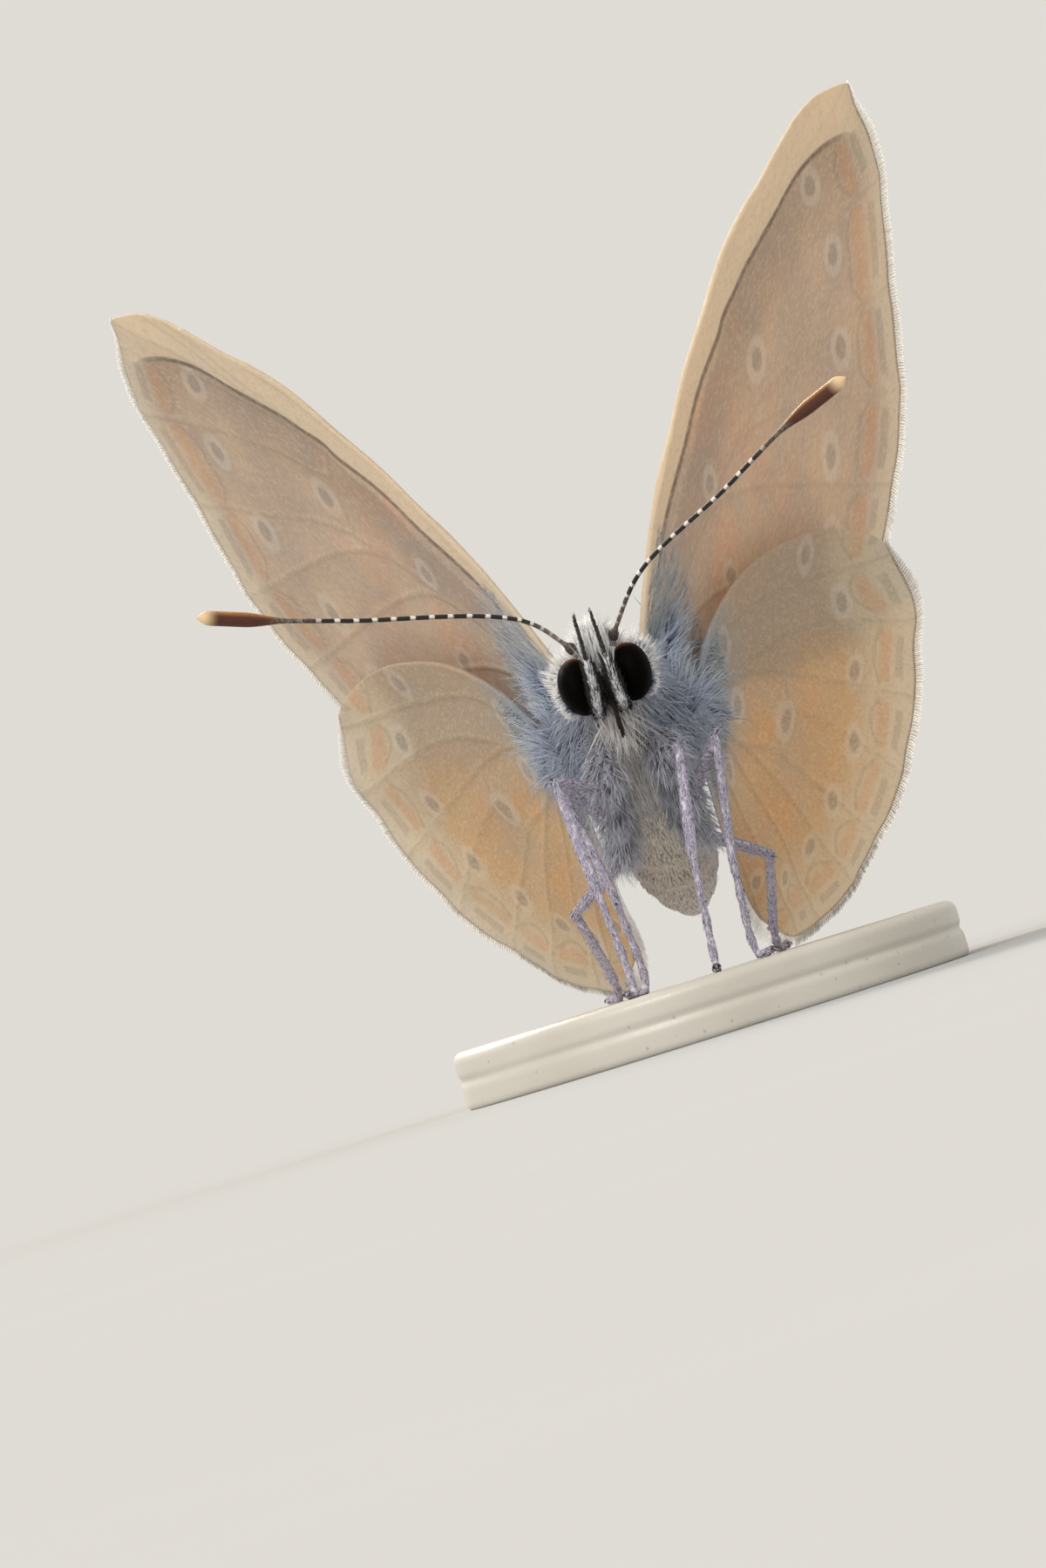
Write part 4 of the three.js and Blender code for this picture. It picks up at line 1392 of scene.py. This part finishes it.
def armpit_roots(by_name, wings, rng):
    """Roots of the long hair that closes the gap between a forewing's and a hindwing's root."""
    groups = []
    start, out = np.zeros((1, 2)), np.array([1.0, 0.0])
    for side_name in SIDES:
        pair = [wing for wing in wings if wing.name.endswith(side_name)]
        lobes = [by_name[f"lobe_{wing.name}"] for wing in pair]
        way = unit(sum(sheet_way(wing, start, out) for wing in pair))
        for lobe, other in (lobes, lobes[::-1]):
            across = unit(other.line.mean(0) - lobe.line.mean(0))
            roots = lobe.scatter(650, rng, lambda p, n, t: ramp(n @ across, -0.1, 0.5))
            groups.append(roots.turned(way))
    return gathered(groups)


def grow_chest(by_name, wings):
    """Hair on the chest, the hips and the wing roots, paler down the middle of the chest's front."""
    hair = coat_finish("chest_hair", (140, 153, 180), (196, 207, 228), (226, 232, 242),
                       other=(228, 222, 226), see_through=0.2)
    rng = random_row("chest")
    trunk = by_name["thorax"].scatter(8600, rng, lambda p, n, t: 0.25 + ramp(n[:, 1], 0.9, 0.2))
    ruff = by_name["collar"].scatter(1500, rng)
    tubes = by_name.items()
    lobes = [tube.scatter(260, rng) for name, tube in tubes if name.startswith("lobe")]
    hips = [tube.scatter(420, rng) for name, tube in tubes if name.startswith("coxa")]
    back_and_down = chest.direction(0, -1.0, -0.25)
    fur = [trunk.turned(back_and_down), ruff.turned(back_and_down)]
    for name, groups in (("chest_hair", fur), ("hip_hair", lobes + hips)):
        roots = clear_of_eyes(gathered(groups), 0.7, 32)
        above = (roots.place - ROOTS) @ chest.up
        middle = ramp(np.abs(roots.place[:, 0] - HEAD_CENTRE[0]), 0.75, 0.2)
        pale = np.maximum(0.55 * ramp(above, -1.4, -2.4), 0.85 * (middle * ramp(above, -0.9, -1.5)))
        grow("chest_hair", name, roots, hair, rng, length=0.6, width=0.032, lift=32, spread=0.5,
             droop=0.12, zone=pale)
    armpits = armpit_roots(by_name, wings, random_row("armpits"))
    grow("chest_hair", "armpit_hair", armpits, hair, rng, length=1.15, width=0.034, lift=18,
         spread=0.3, settle=0.5)


def grow_beard(by_name):
    """Long white hair that hangs between the forelegs and under the chin."""
    rng = random_row("beard")

    def under_chin(place, normal, t):
        beside = np.abs(place[:, 0] + 0.1)
        low = ramp((place - ROOTS) @ chest.up, -1.2, -1.7)
        return ramp(t, 0.74, 0.9) * low * ramp(beside, 0.6, 0.2)

    beard = by_name["thorax"].scatter(420, rng, under_chin)
    chin = by_name["head"].scatter(240, rng, lambda p, n, t: ramp(n @ face.up, -0.3, -0.8))
    beard = gathered([beard.turned(chest.forward * 0.35 - UPWARD),
                      chin.turned(chest.forward * 0.2 - UPWARD)])
    beard = clear_of_eyes(beard, 1.0, 26)
    pale = coat_finish("beard_hair", (198, 190, 190), (240, 235, 234), (250, 247, 244), **GLOWING)
    grow("chest_hair", "chest_beard", beard, pale, rng, length=1.15, width=0.032, lift=26,
         spread=0.12, droop=0.3, vary=0.3)


def grow_abdomen(tube):
    """Pale scales, bluer on top, under sparse fine hair."""
    rng = random_row("abdomen")
    belly = tube.scatter(5600, rng)
    ash = coat_finish("abdomen_scales", (206, 202, 200), (242, 238, 230), (248, 244, 238),
                      other=(160, 172, 196))
    top = ramp(belly.normal[:, 2], 0.0, 0.6)
    grow("abdomen_scales", "abdomen_scales", belly, ash, rng, length=0.22, width=0.09, lift=8,
         flat=0.1, shape=SCALE, spread=0.12, settle=0.8, zone=top)
    fuzz = tube.scatter(1500, rng, lambda p, n, t: ramp(n[:, 2], -0.2, 0.5) + 0.01)
    grow("abdomen_scales", "abdomen_hair", fuzz, ash, rng, length=0.42, width=0.024, lift=16,
         spread=0.3, settle=0.9, zone=0.6)


def in_front(forward, up, beside):
    """A weight for scatter on the head's front. It ramps with how far the skin looks forward and
    up, and with the way off the middle."""
    def weight(place, normal, t):
        off_middle = ramp(np.abs(place[:, 0] - HEAD_MIDDLE), *beside)
        return ramp(normal @ face.forward, *forward) * ramp(normal @ face.up, *up) * off_middle

    return weight


def grow_head(skull, white):
    """The white tufts of the crown, the brow and the nape."""
    silver = coat_finish("brow_scales", (236, 238, 244), (254, 254, 254), (255, 255, 255),
                         fleck=0.0, see_through=0.12)
    rng = random_row("head")

    def on_crown(place, normal, t):
        return ramp(normal @ face.up, 0.35, 0.8) * (np.abs(place[:, 0] - HEAD_MIDDLE) < 0.5)

    def on_nape(place, normal, t):
        return ramp(normal @ face.forward, 0.3, -0.3)

    def tuft(name, count, where, way, middle, finish, length, lift, shading=0.0, **shape):
        roots = clear_of_eyes(skull.scatter(count, rng, where).turned(way, middle), length, lift)
        zone = shading * ramp(roots.normal[:, 2], 0.0, -0.6)
        grow("head_scales", name, roots, finish, rng, length=length, lift=lift, zone=zone, **shape)

    tuft("crown_tuft", 1000, on_crown, face.direction(0, 0.5, 0.8), HEAD_MIDDLE, white, 0.46, 62,
         width=0.034, spread=0.4, settle=0.25)
    on_brow = in_front((0.2, 0.6), (-0.3, 0.2), (0.3, 0.12))
    tuft("brow_tuft", 900, on_brow, face.direction(0, 0.5, 1.0), None, silver, 0.72, 28,
         width=0.05, spread=0.08, settle=0.5)
    tuft("nape_hair", 1500, on_nape, face.direction(0, -0.7, 0.3), HEAD_MIDDLE, white, 0.4, 50,
         shading=0.9, width=0.034, spread=0.35)


def eye_edge_roots(rng, count, draw, around_range, back_range, ahead, strip):
    """Roots around the rear of both eyes, lying outward. Strip is where they lie on the unwrapped
    skin: what is added to each angle, and what the sum is divided by."""
    groups = []
    for side in SIDES.values():
        around = draw(*around_range, count)
        back = rng.uniform(*back_range, count)
        place, normal = eye_place(side, around, back, -EYE_EDGE_SINK)
        out = face.direction(side * np.cos(around), ahead, np.sin(around))
        u, v = ((angle + more) / size for angle, (more, size) in zip((around, back), strip))
        groups.append(Roots(place, normal, out, u, v))
    return gathered(groups)


def grow_eye_edges(white):
    """The eyes' rims of short scales, and behind them a halo of longer ones, both shaded below."""
    rng = random_row("eyes")
    rims = eye_edge_roots(rng, 1100, rng.uniform, (-0.75, math.pi * 0.72), (-0.95, -0.2), 0.1,
                          ((0.8, 3.2), (1.0, 0.85)))
    rims.flow = unit(rims.level(rims.flow) + face.direction(0, 0.5, 0))
    shaded = ramp((rims.place - face.origin) @ face.up, 0.0, -0.22)
    grow("head_scales", "eye_rims", rims, white, rng, length=0.24, width=0.042, lift=60,
         flat=0.35, shape=SCALE, spread=0.35, settle=0.2, zone=shaded)
    halo = eye_edge_roots(rng, 1300, rng.triangular, (-0.5, 0.9, math.pi * 0.75), (-1.05, -0.55),
                          0.0, ((0.55, 3.0), (1.1, 0.6)))
    halo = halo.turned(halo.flow)
    above = (halo.place - face.origin) @ face.up
    length = mix(0.36, 0.66, ramp(above, -0.2, 0.25))
    grow("head_scales", "eye_halo", halo, white, rng, length=length, width=0.034, lift=50,
         spread=0.3, settle=0.1, zone=ramp(above, -0.02, -0.24))


def grow_palps(by_name):
    """Pale scales and dark bristles on the palps, dark bristles between them."""
    dark = coat_finish("palp_bristles", (14, 12, 12), (40, 34, 32), (22, 18, 18), fleck=0.0,
                       see_through=0.0)
    snow = coat_finish("palp_scales", (198, 204, 218), (246, 246, 250), (252, 252, 254), fleck=0.04)
    rng = random_row("palps")

    between_palps = in_front((0.0, 0.4), (0.1, -0.3), (0.24, 0.1))
    chin = by_name["head"].scatter(320, rng, between_palps).turned(face.direction(0, 0.6, -1.0))
    grow("palp_scales", "face_bristles", chin, dark, rng, length=0.55, width=0.026, lift=45,
         spread=0.12, droop=0.2)

    def along_edges(place, normal, t):
        return 0.25 + ramp(np.abs(normal[:, 0]), 0.7, 0.95) * ramp(t, 0.05, 0.25)

    scales, bristles, slim, tip = [], [], [], []
    for side_name in SIDES:
        stout, needle = by_name[f"palp_{side_name}"], by_name[f"needle_{side_name}"]
        scales.append(stout.scatter(620, rng))
        bristles.append(stout.scatter(360, rng, along_edges))
        slim.append(needle.scatter(150, rng))
        tip.append(needle.scatter(20, rng, lambda p, n, t: ramp(t, 0.93, 0.98)))
    grow("palp_scales", "palp_scales", gathered(scales), snow, rng, length=0.14, width=0.04,
         lift=10, flat=0.2, shape=SCALE)
    grow("palp_scales", "palp_bristles", gathered(bristles), dark, rng, length=0.32, width=0.022,
         lift=20, spread=0.25)
    grow("palp_scales", "palp_needle_scales", gathered(slim), dark, rng, length=0.07, width=0.026,
         lift=5, flat=0.25, shape=SCALE)
    grow("palp_scales", "palp_tip_scales", gathered(tip), snow, rng, length=0.07, width=0.03,
         lift=8, flat=0.3, shape=SCALE)


LEG_SCALES = {"coxa": 260, "femur": 540, "tibia": 580, "tarsus": 460}
DUSKY_FEMUR = 0.32
FRECKLED = 0.016                # share of the legs' scales that are dark


def grow_legs(by_name):
    """Lavender scales with dark freckles, spines on the lower legs, fine hair under the thighs."""
    pearl = coat_finish("leg_scales", (160, 154, 184), (212, 207, 230), (228, 224, 240),
                        other=(60, 50, 56), fleck=0.04)
    spine = coat_finish("leg_spines", (20, 16, 16), (46, 38, 38), (24, 20, 20), fleck=0.0,
                        see_through=0.0)
    rng = random_row("legs")
    shafts, dusky, spines, furs = [], [], [], []
    for tube in by_name.values():
        part = tube.name.split("_")[0]
        if part not in LEG_SCALES:
            continue
        shafts.append(tube.scatter(LEG_SCALES[part], rng))
        dusky.append(np.full(len(shafts[-1]), DUSKY_FEMUR if part == "femur" else 0.0))
        if part == "femur":
            furs.append(tube.scatter(60, rng, lambda p, n, t: ramp(n[:, 2], 0.3, -0.4) + 0.15))
        if part in ("tibia", "tarsus"):
            spines.append(tube.scatter(12, rng))
    scales = gathered(shafts)
    freckles = (rng.uniform(0, 1, len(scales)) < FRECKLED) * 1.0
    grow("leg_scales", "leg_scales", scales, pearl, rng, length=0.12, width=0.055, lift=7,
         flat=0.1, shape=SCALE, spread=0.1, settle=0.8,
         zone=np.maximum(freckles, np.concatenate(dusky)))
    grow("leg_scales", "leg_spines", gathered(spines), spine, rng, length=0.1, width=0.016, lift=30,
         spread=0.25)
    grow("leg_scales", "leg_hair", gathered(furs), pearl, rng, length=0.3, width=0.022, lift=20,
         spread=0.3, droop=0.2)


def grow_wings(wings, all_fields):
    """The fringe, shorter at both of its ends, and bluish hair near each wing's root."""
    edge = coat_finish("wing_fringe", (222, 206, 182), (240, 228, 208), (246, 238, 226),
                       fleck=0.02, **GLOWING)
    root = coat_finish("wing_base_hair", (158, 170, 186), (212, 218, 224), (230, 232, 234),
                       see_through=0.2)
    for wing in wings:
        rng = random_row("wings")
        slot = f"{wing.kind}wing"
        roots = edge_roots(wing, all_fields[wing.kind], rng)
        length = FRINGE * (0.35 + 0.65 * ramp(np.minimum(roots.u, 1 - roots.u), 0.05, 0.14))
        grow(slot, f"fringe_{wing.name}", roots, edge, rng, length=length, width=0.055, lift=0,
             flat=0.2, shape=BRISTLE_SCALE, spread=0.015, vary=0.1)
        dusted = base_roots(wing, rng, count=900, far=0.17)
        grow(slot, f"base_hair_{wing.name}", dusted, root, rng, length=0.3 + 0.35 * (1 - dusted.u),
             width=0.022, lift=12, spread=0.3)


def coats(tubes, wings, all_fields):
    by_name = {tube.name: tube for tube in tubes}
    white = coat_finish("head_scales", (222, 224, 230), (252, 252, 252), (255, 255, 255),
                        other=(128, 142, 172), fleck=0.03, **GLOWING)
    grow_chest(by_name, wings)
    grow_beard(by_name)
    grow_abdomen(by_name["abdomen"])
    grow_head(by_name["head"], white)
    grow_eye_edges(white)
    grow_palps(by_name)
    grow_legs(by_name)
    grow_wings(wings, all_fields)


# ---- Stand, claws ---------------------------------------------------------------------------

def stand_finish():
    f = Finish("stand_ceramic")
    here = f.place()
    cloud = f.noise(here, 0.35, 3.0)
    fine = f.noise(here, 9.0, 4.0)
    speck, _ = f.cells(here, 2.6)
    base = f.coloured((212, 208, 199), (cloud, 0.3, 0.7, (203, 198, 188)),
                      (speck, 0.13, 0.05, 0.5, (158, 144, 126)))
    rough = f.ramp(fine, 0.3, 0.7, 0.5, bottom=0.32)
    return f.surface(base, rough, f.bump(fine, 0.18, 0.03), Coat_Weight=0.2, Coat_Roughness=0.2)


def stand():
    """The turned base: a round foot, a shallow groove under its rounded top edge."""
    bevel = STAND_BEVEL
    arc = np.linspace(0, math.pi / 2, 9)
    top = [(BASE_RADIUS - bevel + bevel * math.sin(a), BASE_TOP - bevel + bevel * math.cos(a))
           for a in arc]
    side = [(BASE_RADIUS - STAND_GROOVE * bell(z, 0.09, BASE_TOP * 0.5), z)
            for z in np.linspace(BASE_TOP - bevel, STAND_FOOT, 26)[1:]]
    foot = [(BASE_RADIUS - 0.1 + 0.1 * math.cos(a), STAND_FOOT - STAND_FOOT * math.sin(a))
            for a in arc[1:]]
    inner = [(radius, BASE_TOP) for radius in (1.5, 3.0, 4.2, BASE_RADIUS - bevel - 0.15)]
    profile = inner + top + side + foot
    points = [(radius * math.cos(a), radius * math.sin(a), z)
              for radius, z in profile for a in full_turn(STAND_SIDES)]
    points += [(0.0, 0.0, BASE_TOP), (0.0, 0.0, 0.0)]
    faces = ring_faces(len(profile), STAND_SIDES)
    belongs(add_closed_mesh("stand", points, faces, [stand_finish()]), "stand", "stand_base")


def claws(tubes):
    """Two small hooks at the end of each foot."""
    f = Finish("claw")
    speck = f.noise(f.place(), 20.0, 2.0)
    base = f.coloured((38, 24, 18), (speck, 0.3, 0.7, (78, 50, 34)))
    rough = f.ramp(speck, 0.3, 0.7, 0.45, bottom=0.25)
    material = f.surface(base, rough, f.bump(speck, 0.3, 0.01))
    hooks = []
    for tube in tubes:
        if not tube.name.startswith("tarsus"):
            continue
        way = unit(tube.line[-1] - tube.line[-8])
        side_way = unit(np.cross(way, UPWARD))
        for side in SIDES.values():
            root = tube.line[-1] - way * 0.05 + side_way * (0.03 * side)
            middle = root + way * 0.1 + side_way * (0.04 * side) + UPWARD * 0.01
            tip = root + way * 0.16 + side_way * (0.05 * side) - UPWARD * 0.055
            hook = through([root, middle, tip], 24)
            hooks.append(Tube("claw", hook, [0.028, 0.022, 0.008], cap=0.02))
    belongs(add_closed_mesh("claws", *joined(hooks, rings=14, sides=10), [material]), "leg_scales")


# ---- Assembly -------------------------------------------------------------------------------

def build():
    stand()
    wings = [Wing(kind, side_name, *WING_KINDS[kind]) for side_name in SIDES for kind in WING_KINDS]
    all_fields = {wing.kind: wing_fields(wing) for wing in wings[:2]}
    finishes = {kind: [underside_finish(kind), upper_finish(kind)] for kind in all_fields}
    for wing in wings:
        sheet = membrane(wing, all_fields[wing.kind], finishes[wing.kind])
        belongs(sheet, f"{wing.kind}wing", wing.name)

    tubes = trunk_tubes() + wing_lobes(wings)
    for side_name in SIDES:
        tubes += palp_tubes(side_name)
        for pair in LEG_PAIRS:
            tubes += leg_tubes(pair, side_name, tubes[0].line)
    flesh = ["thorax", "abdomen", "head", "collar"]
    for side_name in SIDES:
        flesh.append(f"palp_{side_name}")
        for pair in LEG_PAIRS:
            flesh += [f"leg_{pair}_upper_{side_name}", f"leg_{pair}_lower_{side_name}"]
    belongs(skin(tubes), "chest_hair", *flesh)
    claws(tubes)

    iris, stem = eye_finish(), feeler_finish()
    for side_name in SIDES:
        belongs(eye(side_name, iris), "eye", f"eye_{side_name}")
        nodes = (f"feeler_{side_name}", f"feeler_club_{side_name}")
        belongs(feeler(side_name, stem), "feeler", *nodes)
    belongs(tongue(), "tongue", "tongue")
    coats(tubes, wings, all_fields)


# ---- Stage, lights and camera ---------------------------------------------------------------

FRAME_WIDTH, FRAME_HEIGHT = 1200, 1798
PIXELS_PER_MM = 56.0            # at the wing roots
CAMERA_DISTANCE = 130.0
CAMERA_LOOKS_UP = 2.0
CAMERA_ROLL = 17.4
ROOTS_PIXEL = (705.0, 799.0)
SUN_SPREAD = 28.0
SENSOR = 36.0
CLIP_NEAR, CLIP_FAR = 5.0, 20000.0
FLOOR_HALF = 3000.0
SKY_STRENGTH = 0.88


def stage():
    f = Finish("floor")
    grain = f.noise(f.place(), 0.12, 4.0)
    base = f.coloured((188, 189, 191), (grain, 0.3, 0.7, (187, 188, 190)))
    normal = f.bump(f.noise(f.place(), 4.0, 2.0), 0.05, 0.03)
    material = f.surface(base, 0.85, normal, Specular_IOR_Level=0.0)
    corners = [(x * FLOOR_HALF, y * FLOOR_HALF, 0.0) for x, y in ((-1, -1), (1, -1), (1, 1), (-1, 1))]
    floor = add_mesh("floor", corners, [(0, 1, 2, 3)], [material])
    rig.stage(floor)
    world = bpy.data.worlds.new("studio")
    bpy.context.scene.world = world
    world.use_nodes = True
    sky = world.node_tree.nodes["Background"].inputs
    sky["Color"].default_value = colour(236, 233, 226)
    sky["Strength"].default_value = SKY_STRENGTH


def sun(name, direction, strength, tint):
    """A broad, soft light from far away."""
    light = bpy.data.lights.new(name, "SUN")
    light.energy = strength
    light.angle = math.radians(SUN_SPREAD)
    light.color = tint[:3]
    placed(name, light).rotation_euler = (-Vector(direction)).to_track_quat("-Z", "Y").to_euler()


def lights():
    sun("key", (-0.4, -0.75, 0.7), 1.3, colour(255, 250, 242))
    sun("back", (-0.35, 0.75, 0.6), 2.6, colour(255, 246, 230))


def camera():
    rise, roll = math.radians(CAMERA_LOOKS_UP), math.radians(CAMERA_ROLL)
    look = np.array([0.0, math.cos(rise), math.sin(rise)])
    level_up = np.array([0.0, -math.sin(rise), math.cos(rise)])
    right = SIDEWAYS * math.cos(roll) - level_up * math.sin(roll)
    up = level_up * math.cos(roll) + SIDEWAYS * math.sin(roll)
    aside = (ROOTS_PIXEL[0] - FRAME_WIDTH / 2) / PIXELS_PER_MM
    below = (ROOTS_PIXEL[1] - FRAME_HEIGHT / 2) / PIXELS_PER_MM
    place = ROOTS - right * aside + up * below - look * CAMERA_DISTANCE
    data = bpy.data.cameras.new("camera")
    data.sensor_width = SENSOR
    data.lens = SENSOR * CAMERA_DISTANCE / (FRAME_HEIGHT / PIXELS_PER_MM)
    data.clip_start = CLIP_NEAR * MM
    data.clip_end = CLIP_FAR * MM
    view = placed("camera", data)
    turn = Matrix((right, up, -look)).transposed().to_4x4()
    view.matrix_world = Matrix.Translation(Vector(place) * MM) @ turn
    bpy.context.scene.camera = view
    bpy.context.scene.view_settings.view_transform = "Standard"


build()
stage()
lights()
camera()

boxes = [[list(corner) for corner in box] for box in (cad_box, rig.bounds())]
with open("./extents.json", "w") as out:
    json.dump(boxes, out)
